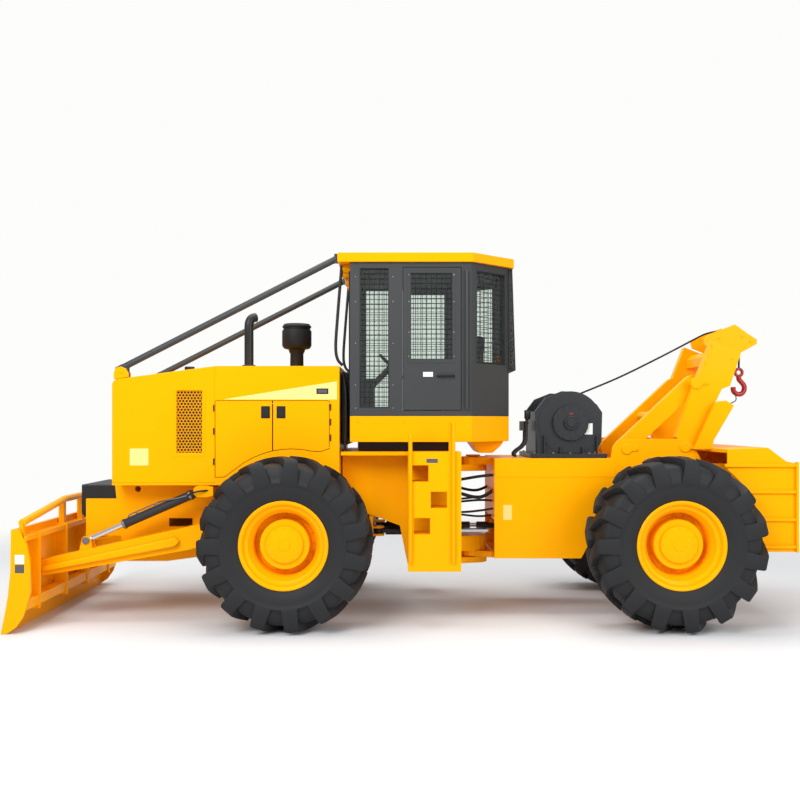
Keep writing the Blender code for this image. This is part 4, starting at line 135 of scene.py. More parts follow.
# A finish with the CAD slot that it dresses
YELLOW = ("chassis_yellow_enamel", "yellow_paint")
BLACK = ("black_chassis_paint", "black_paint")
PLASTIC = ("grained_black_plastic", "black_paint")
RUBBER = ("hose_black_rubber", "black_paint")
TYRE = ("tyre_rubber", "rubber")
ROPE = ("wire_rope_steel", "wire_rope")
RED = ("hook_red_enamel", "red_paint")
CLOTH = ("seat_charcoal_cloth", "seat_cloth")
STEEL = ("ground_steel", "chrome")
LENS = ("lamp_clear_lens", "glass")


def coat(name):
    """The material of a finish: two shades in a fine grain under a thin bump."""
    if name in MATERIALS:
        return MATERIALS[name]
    light, dark, rough, metal, clear, grain, bump = FINISHES[name]
    tint = hex_colour(light) if "yellow" in name else hex_colour("FFFFFF")
    made = bpy.data.materials.new(name)
    tree = empty_tree(made)
    place = add_node(tree, "ShaderNodeTexCoord")
    noise = add_node(tree, "ShaderNodeTexNoise", {
        "Vector": place.outputs["Object"], "Scale": 1000.0 / grain, "Detail": 4.0})
    broad = add_node(tree, "ShaderNodeTexNoise", {
        "Vector": place.outputs["Object"], "Scale": BROAD_SCALE, "Detail": 3.0})
    shade = add_node(tree, "ShaderNodeMix", {
        "Factor": broad.outputs["Fac"], "A": hex_colour(light), "B": hex_colour(dark)},
        data_type="RGBA")
    gloss = add_node(tree, "ShaderNodeMapRange", {
        "Value": noise.outputs["Fac"], "To Min": rough * (1.0 - ROUGH_PLAY),
        "To Max": min(1.0, rough * (1.0 + ROUGH_PLAY))})
    shader = add_node(tree, "ShaderNodeBsdfPrincipled", {
        "Base Color": shade.outputs["Result"], "Roughness": gloss.outputs["Result"],
        "Metallic": metal, "Coat Weight": clear, "Coat Roughness": 0.12,
        "Specular IOR Level": METAL_SHEEN if metal else PAINT_SHEEN, "Specular Tint": tint})
    if bump:
        relief = add_node(tree, "ShaderNodeBump", {
            "Height": noise.outputs["Fac"], "Strength": 0.5, "Distance": bump / 1000})
        tree.links.new(relief.outputs["Normal"], shader.inputs["Normal"])
    add_node(tree, "ShaderNodeOutputMaterial", {"Surface": shader.outputs["BSDF"]})
    MATERIALS[name] = made
    return made


def tinted_glass():
    """Clear cab glass with a cool tint that shadow rays pass."""
    made = bpy.data.materials.new("tinted_cab_glass")
    tree = empty_tree(made)
    clear = add_node(tree, "ShaderNodeBsdfTransparent", {"Color": hex_colour("F4F8F5")})
    gloss = add_node(tree, "ShaderNodeBsdfGlossy", {
        "Color": hex_colour("E8F0F2"), "Roughness": 0.04})
    body = add_node(tree, "ShaderNodeMixShader", {
        0: GLASS_GLOSS, 1: clear.outputs[0], 2: gloss.outputs[0]})
    add_node(tree, "ShaderNodeOutputMaterial", {"Surface": body.outputs[0]})
    return made


MATERIALS["tinted_cab_glass"] = tinted_glass()

# %% [markdown]
# ## Shapes
#
# A shape is a pair: points and faces, in the machine's own frame in metres.

# %%
AXES = {"x": (1, 2, 0), "y": (0, 2, 1), "z": (0, 1, 2)}
SIDES = ((-1, "left"), (1, "right"))
# Corners nearer than MERGE are one; edges sharper than SHARP are rounded
MERGE, SHARP, BOLT_TURN = 1e-6, radians(28), 0.37


def prism(outline, low, high, axis):
    """An outline in the plane across an axis, drawn out from low to high along it."""
    first, second, along = AXES[axis]
    points = []
    for level in (low, high):
        for a, b in outline:
            point = [0.0, 0.0, 0.0]
            point[first], point[second], point[along] = a, b, level
            points.append(tuple(point))
    n = len(outline)
    faces = [tuple(range(n)), tuple(range(2 * n - 1, n - 1, -1))]
    faces += [(i, (i + 1) % n, n + (i + 1) % n, n + i) for i in range(n)]
    return points, faces


def block(x, y, z):
    """A box from its three spans."""
    return prism([(x[0], z[0]), (x[1], z[0]), (x[1], z[1]), (x[0], z[1])], y[0], y[1], "y")


def lathe(profile, centre, axis, sides):
    """A closed or open profile of (radius, offset) turned about an axis through a centre."""
    first, second, along = AXES[axis]
    points, faces = [], []
    for i in range(sides):
        angle = 2 * pi * i / sides
        for radius, offset in profile:
            point = list(centre)
            point[first] += radius * cos(angle)
            point[second] += radius * sin(angle)
            point[along] += offset
            points.append(tuple(point))
    n = len(profile)
    for i in range(sides):
        j = (i + 1) % sides
        faces += [(i * n + k, i * n + k + 1, j * n + k + 1, j * n + k) for k in range(n - 1)]
    return points, faces


def disc(centre, radius, span, axis, sides=32, lip=0.0):
    """A round slug with closed ends and an optional small chamfer."""
    low, high = span
    profile = [(0.0, low), (radius - lip, low), (radius, low + lip), (radius, high - lip),
               (radius - lip, high), (0.0, high)]
    return lathe(profile, centre, axis, sides)


def tube(route, radius, sides=12, closed_ends=True):
    """A round bar along a route of points, with its section kept from twisting."""
    route = [Vector(p) for p in route]
    points, faces = [], []
    normal = None
    for i, here in enumerate(route):
        ahead = (route[min(i + 1, len(route) - 1)] - route[max(i - 1, 0)]).normalized()
        if normal is None:
            normal = ahead.orthogonal().normalized()
        normal = (normal - ahead * normal.dot(ahead)).normalized()
        other = ahead.cross(normal)
        for k in range(sides):
            turn = 2 * pi * k / sides
            points.append(tuple(here + radius * (cos(turn) * normal + sin(turn) * other)))
    for i in range(len(route) - 1):
        for k in range(sides):
            j = (k + 1) % sides
            faces.append((i * sides + k, i * sides + j, (i + 1) * sides + j, (i + 1) * sides + k))
    if closed_ends:
        faces.append(tuple(range(sides - 1, -1, -1)))
        faces.append(tuple(range((len(route) - 1) * sides, len(route) * sides)))
    return points, faces


def curve(points, steps=10):
    """A smooth run through a few points."""
    points = [Vector(p) for p in points]
    ends = [points[0] * 2 - points[1]] + points + [points[-1] * 2 - points[-2]]
    out = []
    for a, b, c, d in zip(ends, ends[1:], ends[2:], ends[3:]):
        for i in range(steps):
            t = i / steps
            out.append(0.5 * ((2 * b) + (c - a) * t + (2 * a - 5 * b + 4 * c - d) * t * t
                              + (3 * b - a - 3 * c + d) * t ** 3))
    return out + [points[-1]]


def joined(*shapes):
    """Several shapes as one."""
    points, faces = [], []
    for more_points, more_faces in shapes:
        faces += [tuple(len(points) + i for i in face) for face in more_faces]
        points += more_points
    return points, faces


def mirrored(shape):
    """A shape on the other side of the machine."""
    points, faces = shape
    return [(x, -y, z) for x, y, z in points], [tuple(reversed(face)) for face in faces]


def both_sides(shape):
    """A shape and its mirror image."""
    return joined(shape, mirrored(shape))


def outward(side, near, far):
    """A span of Y on one side, from its two distances to the middle."""
    return sorted((side * near, side * far))


def arc(x, z, radius, angles):
    """Places on a circle in the side view."""
    return [(x + radius * cos(a), z + radius * sin(a)) for a in angles]


def circle_spots(centre, radius, count, side):
    """Spots for bolts on a circle about an axle; they face out on one side."""
    angles = [2 * pi * i / count for i in range(count)]
    return [((x, centre[1], z), (0, side, 0))
            for x, z in arc(centre[0], centre[2], radius, angles)]


def filled(name, shape, bevel=0.0, smooth=None):
    """A mesh of a shape: corners merged, faces turned out, sharp edges cut back if asked."""
    mesh = bpy.data.meshes.new(name)
    mesh.from_pydata(shape[0], [], shape[1])
    work = bmesh.new()
    work.from_mesh(mesh)
    bmesh.ops.remove_doubles(work, verts=work.verts, dist=MERGE)
    bmesh.ops.recalc_face_normals(work, faces=work.faces)
    if bevel:
        sharp = [e for e in work.edges if len(e.link_faces) == 2 and e.calc_face_angle(0) > SHARP]
        bmesh.ops.bevel(work, geom=sharp, offset=bevel, segments=2, profile=0.6, affect="EDGES")
    work.to_mesh(mesh)
    work.free()
    if smooth:
        mesh.shade_smooth()
        mesh.set_sharp_from_angle(angle=radians(smooth))
    return mesh


def piece(name, shape, body, finish, slot, bevel=0.0, steps=2, smooth=35):
    """A finished piece at the origin that rides on a body."""
    mesh = filled(name, shape, smooth=smooth)
    mesh.materials.append(coat(finish))
    made = bpy.data.objects.new(name, mesh)
    scene.collection.objects.link(made)
    if bevel:
        soften(made, bevel, steps)
    if body:
        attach(made, body)
    return made


def soften(made, width, steps=2):
    """A small rounded edge on an object's sharp corners."""
    edge = made.modifiers.new("edge_round", "BEVEL")
    edge.width, edge.segments = width, steps
    edge.limit_method, edge.angle_limit = "ANGLE", SHARP
    edge.harden_normals = True


# %% [markdown]
# ## Repeats
#
# Bolts, lugs and punched plate are set out by Geometry Nodes: one shape is put on every
# point of a mesh, turned as the point's attribute says, and made plain mesh at the end.

# %%


def repeats(name, shape, places, body, finish, slot, bevel=0.0, smooth=35):
    """One shape set at many (point, turn) places, as one plain mesh on a body."""
    proto = bpy.data.objects.new(name + "_one", filled(name + "_one", shape, bevel, smooth))
    spots = bpy.data.meshes.new(name)
    spots.from_pydata([tuple(p) for p, _ in places], [], [])
    turns = spots.attributes.new("turn", "FLOAT_VECTOR", "POINT")
    for i, (_, turn) in enumerate(places):
        turns.data[i].vector = turn
    carrier = bpy.data.objects.new(name, spots)
    scene.collection.objects.link(carrier)
    tree = bpy.data.node_groups.new(name, "GeometryNodeTree")
    tree.interface.new_socket("Geometry", in_out="INPUT", socket_type="NodeSocketGeometry")
    tree.interface.new_socket("Geometry", in_out="OUTPUT", socket_type="NodeSocketGeometry")
    entry = add_node(tree, "NodeGroupInput")
    one = add_node(tree, "GeometryNodeObjectInfo", {"Object": proto})
    turn = add_node(tree, "GeometryNodeInputNamedAttribute", {"Name": "turn"},
                    data_type="FLOAT_VECTOR")
    spin = add_node(tree, "FunctionNodeEulerToRotation", {"Euler": turn.outputs["Attribute"]})
    put = add_node(tree, "GeometryNodeInstanceOnPoints", {
        "Points": entry.outputs[0], "Instance": one.outputs["Geometry"],
        "Rotation": spin.outputs[0]})
    real = add_node(tree, "GeometryNodeRealizeInstances", {"Geometry": put.outputs[0]})
    dressed = add_node(tree, "GeometryNodeSetMaterial", {
        "Geometry": real.outputs[0], "Material": coat(finish)})
    add_node(tree, "NodeGroupOutput", {0: dressed.outputs[0]})
    carrier.modifiers.new("set_out", "NODES").node_group = tree
    bpy.context.view_layer.update()
    seen = carrier.evaluated_get(bpy.context.evaluated_depsgraph_get())
    plain = bpy.data.meshes.new_from_object(seen)
    carrier.modifiers.clear()
    carrier.data = plain
    bpy.data.node_groups.remove(tree)
    bpy.data.objects.remove(proto)
    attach(carrier, body)


def turned_to(direction, spin=0.0):
    """Euler turn that takes +Z to a direction."""
    aim = Vector(direction).to_track_quat("Z", "Y").to_matrix() @ Matrix.Rotation(spin, 3, "Z")
    return tuple(aim.to_euler())


def hex_bolt(size):
    """A hexagon head on its washer, standing up from the origin, for a thread size."""
    washer, head, lift, edge = size * 1.05, size * 0.86, size * 0.16, size * 0.05
    base = disc((0, 0, 0), washer, (0.0, lift), "z", 20, edge)
    across = arc(0, 0, head, [radians(60 * i) for i in range(6)])
    return joined(base, prism(across, lift, size * 0.72, "z"))


def bolts(name, spots, size, body, finish="zinc_plated_bolts", slot="black_paint"):
    """Hexagon bolts at (point, direction) spots, each turned on from the one before."""
    places = [(point, turned_to(way, BOLT_TURN * i)) for i, (point, way) in enumerate(spots)]
    repeats(name, hex_bolt(size), places, body, finish, slot, size * 0.05)


# %% [markdown]
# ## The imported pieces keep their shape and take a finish
#
# Flat facets are merged again, the sharp edges rounded, and each gets its paint.

# %%
NODE_FINISH = {
    "grey_paint": "cab_graphite_powder_coat", "slate_paint": "winch_slate_enamel",
    "glass": "tinted_cab_glass", "cast_steel": "worn_cast_steel", "chrome": "hard_chrome",
    **{slot: finish for finish, slot in (YELLOW, BLACK, TYRE, ROPE, RED, CLOTH)},
}
# Rounding of a node's edges in metres, both sides alike; glass and round pieces keep theirs
EDGE_ROUND = {
    "front_frame": 0.006, "front_guard": 0.010, "hood_body": 0.006, "engine_door_front": 0.004,
    "engine_door_rear": 0.004, "cab_floor": 0.006, "cab_roof": 0.012, "cab_door": 0.005,
    "cab_shell": 0.006, "steps": 0.005, "blade": 0.006, "rear_frame": 0.006,
    "winch_housing": 0.006, "arch_columns": 0.008, "arch_struts": 0.010,
    "butt_plate": 0.005, "front_axle": 0.008, "rear_axle": 0.008, "engine": 0.030,
}
WELD_GAP, FLAT_TURN = 0.00002, radians(0.5)
slot_of = {row["node"]: row["material_slot"] for row in frame["record"]["subparts"]}
for node_name, node_object in frame["nodes"].items():
    node_object.data.materials.clear()
    node_object.data.materials.append(coat(NODE_FINISH[slot_of[node_name]]))
    if "glass" in node_name or node_name.startswith(("tyre_", "rim_", "hood_nose")):
        continue
    node_object.modifiers.new("weld", "WELD").merge_threshold = WELD_GAP
    flat = node_object.modifiers.new("merge_facets", "DECIMATE")
    flat.decimate_type, flat.angle_limit = "DISSOLVE", FLAT_TURN
    base_name = node_name.removesuffix("_left").removesuffix("_right")
    if base_name in EDGE_ROUND:
        soften(node_object, EDGE_ROUND[base_name])
    node_object.modifiers.new("even_shading", "WEIGHTED_NORMAL").keep_sharp = True

# %% [markdown]
# ## Wheels
#
# A skidder's tyre has deep chevron lugs that run from the middle of the tread down over
# the shoulder. Its rim is dished, with the hub's flange deep inside.

# %%
FRONT_AXLE_X, REAR_AXLE_X = -1.237, 2.782
WHEEL_Y, WHEEL_Z = 1.19, 0.90
LUGS = 15
# Lugs are broader at the foot; past the shoulder the foot is tucked into the wall
LUG_SPREAD, LUG_SHOULDER_Y, LUG_TUCK = 1.16, 0.285, 0.022
# Rings of bolts: circle, count, size, distance out from the wheel's middle
NUT_RING = (0.288, 16, 0.016, -0.040)
HUB_RING = (0.168, 12, 0.010, 0.160)
# Carcass section from the bead to the tread's middle: distance from the middle, radius
CARCASS = (
    (0.205, 0.425), (0.238, 0.432), (0.246, 0.456), (0.262, 0.482), (0.281, 0.530),
    (0.292, 0.580), (0.295, 0.622), (0.300, 0.628), (0.300, 0.642), (0.288, 0.650),
    (0.280, 0.690), (0.272, 0.735), (0.258, 0.772), (0.235, 0.800), (0.190, 0.818),
    (0.130, 0.828), (0.060, 0.834), (0.0, 0.836),
)
# Lug stations: distance out, top radius, foot radius, half width at top, lead in degrees
LUG_STATIONS = (
    (0.006, 0.8990, 0.826, 0.046, 13.0), (0.060, 0.8985, 0.825, 0.048, 10.4),
    (0.120, 0.8960, 0.822, 0.051, 7.6), (0.180, 0.8920, 0.816, 0.055, 4.8),
    (0.235, 0.8840, 0.800, 0.061, 2.3), (0.274, 0.8720, 0.772, 0.066, 0.7),
    (0.294, 0.8480, 0.745, 0.070, 0.0), (0.302, 0.8000, 0.720, 0.074, 0.0),
    (0.3045, 0.7450, 0.690, 0.078, 0.0), (0.3035, 0.6950, 0.665, 0.081, 0.0),
    (0.3010, 0.6440, 0.635, 0.082, 0.0),
)


def tyre_carcass(centre):
    """The tyre's body, bead to bead, with a thin rib low on each wall."""
    section = [(radius, y) for y, radius in CARCASS]
    section += [(radius, -y) for y, radius in CARCASS[-2::-1]]
    return lathe(section, centre, "y", 112)


def tyre_lug(side):
    """One lug of one side, along its stations, for a wheel at the origin."""
    points, faces = [], []
    for y, top, foot, half, lead in LUG_STATIONS:
        tuck = LUG_TUCK if y > LUG_SHOULDER_Y else 0.0
        for radius, spread, inward in ((foot, LUG_SPREAD, tuck), (top, 1.0, 0.0),
                                       (top, -1.0, 0.0), (foot, -LUG_SPREAD, tuck)):
            angle = radians(lead) + half * spread / top
            points.append((radius * cos(angle), side * (y - inward), radius * sin(angle)))
    n = len(LUG_STATIONS)
    for i in range(n - 1):
        for k in range(4):
            j = (k + 1) % 4
            faces.append((i * 4 + k, i * 4 + j, i * 4 + 4 + j, i * 4 + 4 + k))
    faces += [(3, 2, 1, 0), tuple(range(4 * n - 4, 4 * n))]
    return points, faces


def rim_shape(centre, side):
    """The dished rim, its flanges, recess and hub."""
    profile = (
        (0.0, 0.176), (0.060, 0.176), (0.066, 0.170), (0.128, 0.170), (0.150, 0.163),
        (0.186, 0.160), (0.190, 0.155), (0.190, 0.132), (0.249, 0.130), (0.254, 0.124),
        (0.254, -0.040), (0.322, -0.040), (0.324, 0.118), (0.332, 0.134), (0.352, 0.172),
        (0.366, 0.196), (0.384, 0.206), (0.402, 0.210), (0.408, 0.226), (0.416, 0.246),
        (0.428, 0.256), (0.446, 0.260), (0.455, 0.254), (0.456, 0.242), (0.424, 0.240),
        (0.420, 0.225), (0.420, -0.225), (0.424, -0.240), (0.456, -0.242), (0.450, -0.260),
        (0.416, -0.252), (0.405, -0.225), (0.400, -0.080), (0.300, -0.070), (0.0, -0.070),
    )
    return lathe([(r, side * y) for r, y in profile], centre, "y", 96)


WHEELS = [("%s_%s" % (end, name), axle_x, side)
          for end, axle_x in (("front", FRONT_AXLE_X), ("rear", REAR_AXLE_X))
          for side, name in SIDES]
for wheel, axle_x, side in WHEELS:
    hub = (axle_x, side * WHEEL_Y, WHEEL_Z)
    body = "wheel_" + wheel
    carcass = piece("tyre_carcass_" + wheel, tyre_carcass(hub), body, *TYRE, smooth=50)
    for half_side in (-1, 1):
        stagger = 0.0 if half_side > 0 else pi / LUGS
        places = [(hub, (0.0, -(2 * pi * i / LUGS + stagger), 0.0)) for i in range(LUGS)]
        repeats("tyre_lugs_%s_%s" % (wheel, "out" if half_side == side else "in"),
                tyre_lug(half_side), places, body, *TYRE, 0.004, 40)
    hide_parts("tyre_" + wheel)
    dish = piece("rim_dish_" + wheel, rim_shape(hub, side), body, *YELLOW, smooth=28)
    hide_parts("rim_" + wheel)
    for label, (radius, count, size, out) in (("wheel_nuts_", NUT_RING), ("hub_bolts_", HUB_RING)):
        face = (hub[0], hub[1] + side * out, hub[2])
        bolts(label + wheel, circle_spots(face, radius, count, side), size, body, *YELLOW)

# %% [markdown]
# ## Cuts
#
# Holes are carved from a shape with an exact Boolean, as a plain mesh.

# %%


def carved(shape, *tools):
    """A shape with tools cut out of it."""
    made = []
    for part in (shape, joined(*tools)):
        made.append(bpy.data.objects.new("carve", filled("carve", part)))
        scene.collection.objects.link(made[-1])
    cutter = made[0].modifiers.new("cut", "BOOLEAN")
    cutter.operation, cutter.solver, cutter.object = "DIFFERENCE", "EXACT", made[1]
    cutter.use_self = True
    bpy.context.view_layer.update()
    plain = bpy.data.meshes.new_from_object(
        made[0].evaluated_get(bpy.context.evaluated_depsgraph_get()))
    points = [tuple(v.co) for v in plain.vertices]
    faces = [tuple(face.vertices) for face in plain.polygons]
    for part in made:
        bpy.data.objects.remove(part)
    return points, faces


# %% [markdown]
# ## Hood
#
# The nose has a punched side panel and a punched front, with the radiator dark behind.

# %%
HOOD_Y, NOSE_X, SEAM_X = 0.78, -3.18, -2.0662
HOOD_LOW_Z, HOOD_TOP_Z, NOSE_TOP_Z = 1.49, 2.757, 2.61
SHEET, CUT = 0.02, 0.1
SIDE_PANEL_X, SIDE_PANEL_Z = (-2.515, -2.170), (1.775, 2.515)
GRILLE_X, GRILLE_Z = (-2.480, -2.204), (1.816, 2.489)
FRONT_GRILLE_Y, FRONT_GRILLE_Z = (-0.60, 0.60), (1.64, 2.46)
nose_line = [(NOSE_X, HOOD_LOW_Z), (SEAM_X, HOOD_LOW_Z),
             (SEAM_X, HOOD_TOP_Z), (NOSE_X + 0.070, NOSE_TOP_Z + 0.009),
             (NOSE_X + 0.020, NOSE_TOP_Z - 0.010), (NOSE_X, NOSE_TOP_Z - 0.045)]
inner_line = [(NOSE_X + SHEET, HOOD_LOW_Z - CUT), (SEAM_X + CUT, HOOD_LOW_Z - CUT),
              (SEAM_X + CUT, HOOD_TOP_Z - SHEET), (SEAM_X, HOOD_TOP_Z - SHEET),
              (NOSE_X + 0.075, NOSE_TOP_Z - SHEET), (NOSE_X + SHEET, NOSE_TOP_Z - 0.060)]
nose = carved(prism(nose_line, -HOOD_Y, HOOD_Y, "y"),
              prism(inner_line, -HOOD_Y + SHEET, HOOD_Y - SHEET, "y"),
              block(GRILLE_X, (-1, -HOOD_Y + CUT), GRILLE_Z),
              block(GRILLE_X, (HOOD_Y - CUT, 1), GRILLE_Z),
              block((NOSE_X - CUT, NOSE_X + CUT), FRONT_GRILLE_Y, FRONT_GRILLE_Z))
nose_piece = piece("hood_nose_skin", nose, FRONT, *YELLOW, 0.006)
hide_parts("hood_nose")
PUNCH_PITCH, PUNCH_HOLE, PUNCH_PLATE, PUNCH_DEPTH = 0.036, 0.0135, 0.003, 0.012


def hexagon_cell():
    """One cell of punched plate: a hexagon with a round hole, lying across Z."""
    points, faces = [], []
    sides = 12
    angles = [2 * pi * i / sides for i in range(sides)]
    for level in (0.0, PUNCH_PLATE):
        for angle in angles:
            sector = (angle + pi / 6) % (pi / 3) - pi / 6
            reach = PUNCH_PITCH / 2 / cos(sector)
            points.append((reach * cos(angle), reach * sin(angle), level))
        points += [(x, y, level) for x, y in arc(0, 0, PUNCH_HOLE, angles)]
    for i in range(sides):
        j = (i + 1) % sides
        faces.append((i, j, sides + j, sides + i))
        faces.append((2 * sides + i, 3 * sides + i, 3 * sides + j, 2 * sides + j))
        faces.append((sides + i, sides + j, 3 * sides + j, 3 * sides + i))
    return points, faces


def punched_spots(first, second):
    """Staggered rows of points that fill two spans."""
    rows, spots, b = 0, [], second[0]
    while b <= second[1]:
        a = first[0] + (PUNCH_PITCH / 2 if rows % 2 else 0.0)
        while a <= first[1]:
            spots.append((a, b))
            a += PUNCH_PITCH
        b += PUNCH_PITCH * sqrt(3) / 2
        rows += 1
    return spots


QUARTER = radians(90)
punched = hexagon_cell()
for side, name in SIDES:
    repeats("punched_side_panel_" + name, punched,
            [((x, side * (HOOD_Y - PUNCH_DEPTH), z), (QUARTER, QUARTER, 0.0))
             for x, z in punched_spots(GRILLE_X, GRILLE_Z)], FRONT, *YELLOW)
repeats("punched_front_panel", punched,
        [((NOSE_X + PUNCH_DEPTH, y, z), (0.0, QUARTER, 0.0))
         for z, y in punched_spots(FRONT_GRILLE_Z, FRONT_GRILLE_Y)], FRONT, *BLACK)
shroud = both_sides(block((-2.95, -2.14), (-0.735, -0.725), (1.60, 2.52)))
piece("radiator_and_shroud", joined(block((-3.08, -2.98), (-0.68, 0.68), (1.53, 2.46)), shroud),
      FRONT, *BLACK, 0.004)
LIP = 0.004
grille_rim = carved(block(SIDE_PANEL_X, (-HOOD_Y - LIP, -HOOD_Y + 0.001), SIDE_PANEL_Z),
                    block((GRILLE_X[0] - LIP, GRILLE_X[1] + LIP), (-1, 0),
                          (GRILLE_Z[0] - LIP, GRILLE_Z[1] + LIP)))
piece("side_grille_frames", both_sides(grille_rim), FRONT, *YELLOW, 0.0015)
front_bars = [block((NOSE_X - 0.006, NOSE_X + LIP), FRONT_GRILLE_Y, (z - 0.012, z + 0.012))
              for z in (1.64, 1.845, 2.05, 2.255, 2.46)]
front_bars += [block((NOSE_X - 0.008, NOSE_X + LIP), (y - 0.014, y + 0.014),
                     (1.628, 2.472)) for y in (-0.6, -0.2, 0.2, 0.6)]
piece("front_grille_bars", joined(*front_bars), FRONT, *BLACK, 0.003)
# Ears that hold the limb risers, hinge knuckles, latches and the filler cap
ears = [prism([(-3.162, 2.612), (-3.000, 2.640), (-3.000, 2.680), (-3.030, 2.730), (-3.085, 2.752),
               (-3.140, 2.735), (-3.162, 2.690)], y, y + 0.012, "y") for y in (-0.778, -0.704)]
ears.append(disc((-3.085, -0.735, 2.695), 0.020, (-0.050, 0.050), "y", 20, 0.004))
piece("riser_ears", both_sides(joined(*ears)), FRONT, *YELLOW, 0.003)
knuckles = []
for x, levels in ((-2.076, (1.72, 2.05, 2.30)), (-0.812, (1.98, 2.15, 2.31))):
    knuckles += [disc((x, -HOOD_Y - 0.004, 0), 0.008, (z - 0.035, z + 0.035), "z", 12, 0.001)
                 for z in levels]
piece("hood_hinge_knuckles", both_sides(joined(*knuckles)), FRONT, *BLACK)
for side, name in SIDES:
    for x, door in ((-1.516, "front"), (-1.348, "rear")):
        plate = block((x - 0.048, x + 0.048), outward(side, 0.775, 0.786), (2.190, 2.322))
        paddle = block((x - 0.034, x + 0.034), outward(side, 0.785, 0.792), (2.205, 2.290))
        piece("paddle_latch_%s_%s" % (door, name), joined(plate, paddle),
              "engine_door_%s_%s" % (door, name), *PLASTIC, 0.003)
piece("hood_filler_cap", disc((-2.40, -0.52, 0), 0.055, (2.71, 2.765), "z", 32, 0.006),
      FRONT, *BLACK)
stripe = prism([(-1.975, 2.394), (-0.745, 2.394), (-0.745, 2.590)], -HOOD_Y - 0.0015,
               -HOOD_Y + 0.001, "y")
piece("cream_side_stripe", both_sides(stripe), FRONT, "blank_cream_decal", "yellow_paint")
inset = block((-0.965, -0.835), (-HOOD_Y - LIP, -HOOD_Y), (2.452, 2.514))
glassy = block((-0.950, -0.850), (-HOOD_Y - 0.005, -HOOD_Y), (2.464, 2.502))
piece("side_marker_housing", both_sides(inset), FRONT, *PLASTIC, 0.002)
piece("side_marker_lens", both_sides(glassy), FRONT, "blank_grey_decal", "black_paint", 0.001)
piece("blank_side_decal", both_sides(block((-2.985, -2.785), (-HOOD_Y - 0.0012, -HOOD_Y),
                                           (1.680, 1.862))),
      FRONT, "blank_cream_decal", "yellow_paint")

# %% [markdown]
# ## Exhaust pipe and air cleaner

# %%
EXHAUST_X, EXHAUST_Y = -1.787, -0.250
# Bends of the pipe: metres back, metres to the right, height
BENDS = ((0, 0, HOOD_TOP_Z), (0, 0, 3.05), (0, 0, 3.24), (0.010, 0.010, 3.305),
         (0.034, 0.034, 3.340), (0.070, 0.060, 3.352))
stack = curve([(EXHAUST_X + x, EXHAUST_Y + y, z) for x, y, z in BENDS], 8)
collar = disc((EXHAUST_X, EXHAUST_Y, 0), 0.078, (2.758, 2.80), "z", 32, 0.006)
pipe = piece("exhaust_pipe", joined(tube(stack, 0.052, 28), collar), FRONT, *BLACK, smooth=40)
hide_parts("exhaust_stack")
CLEANER = (-1.287, 0.150, 0)
bowl = ((0.0, HOOD_TOP_Z), (0.105, HOOD_TOP_Z), (0.105, 2.785), (0.080, 2.795), (0.078, 2.960),
        (0.092, 2.985), (0.098, 3.010), (0.150, 3.022), (0.168, 3.045), (0.174, 3.060),
        (0.174, 3.225), (0.168, 3.240), (0.158, 3.246), (0.158, 3.262), (0.168, 3.268),
        (0.172, 3.284), (0.150, 3.312), (0.060, 3.319), (0.0, 3.320))
cleaner = piece("pre_cleaner_bowl", lathe(bowl, CLEANER, "z", 48), FRONT, *PLASTIC, smooth=30)
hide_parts("air_pre_cleaner")

# %% [markdown]
# ## Cab
#
# Steel mesh guards stand over every window. Behind the glass are the seat and the wheel.

# %%
# Radii of a guard's wires and of its frame
WIRE, GUARD_FRAME = 0.0035, 0.0084
CAB_Y = 0.80
GUARD_Y, SURROUND_Y = CAB_Y - 0.006, 0.8045
# Run of a door's grip seen from above
GRIP = ((0.350, 0.803), (0.358, 0.832), (0.440, 0.836), (0.512, 0.832), (0.520, 0.803))


def mesh_guard(corners, across, up):
    """A wire screen: bars between opposite edges of a four-cornered panel."""
    a, b, c, d = [Vector(p) for p in corners]
    bars = [tube([a.lerp(b, i / across), d.lerp(c, i / across)], WIRE, 6, False)
            for i in range(across + 1)]
    bars += [tube([a.lerp(d, i / up), b.lerp(c, i / up)], WIRE, 6, False) for i in range(up + 1)]
    bars += [tube([p, q], GUARD_FRAME, 8) for p, q in ((a, b), (b, c), (c, d), (d, a))]
    return joined(*bars)


def upright(a, b, low, high):
    """The corners of an upright panel: two places on the ground and two heights."""
    return [(*a, low), (*b, low), (*b, high), (*a, high)]


quarter = mesh_guard(upright((-0.494, -GUARD_Y), (-0.180, -GUARD_Y), 2.306, 3.810), 6, 27)
piece("quarter_window_guards", both_sides(quarter), FRONT, *BLACK)
corner = mesh_guard(upright((0.765, -0.752), (1.118, -0.448), 2.80, 3.79), 8, 18)
piece("corner_window_guards", both_sides(corner), FRONT, *BLACK)
rear = mesh_guard([(1.232, -0.42, 2.735), (1.232, 0.42, 2.735), (1.195, 0.42, 3.86),
                   (1.195, -0.42, 3.86)], 15, 20)
slant = mesh_guard([(1.170, -0.415, 2.76), (1.232, -0.42, 2.735), (1.195, -0.42, 3.86),
                    (1.170, -0.415, 3.86)], 1, 20)
feet = [tube([(1.150, -y, 2.735), (1.232, -y, 2.735)], 0.012, 10) for y in (0.41, -0.41)]
piece("rear_window_guard", joined(rear, both_sides(slant), *feet), FRONT, *BLACK)
front_screen = mesh_guard(upright((-0.612, -0.69), (-0.612, 0.69), 2.42, 3.79), 24, 24)
piece("front_window_guard", front_screen, FRONT, *BLACK)
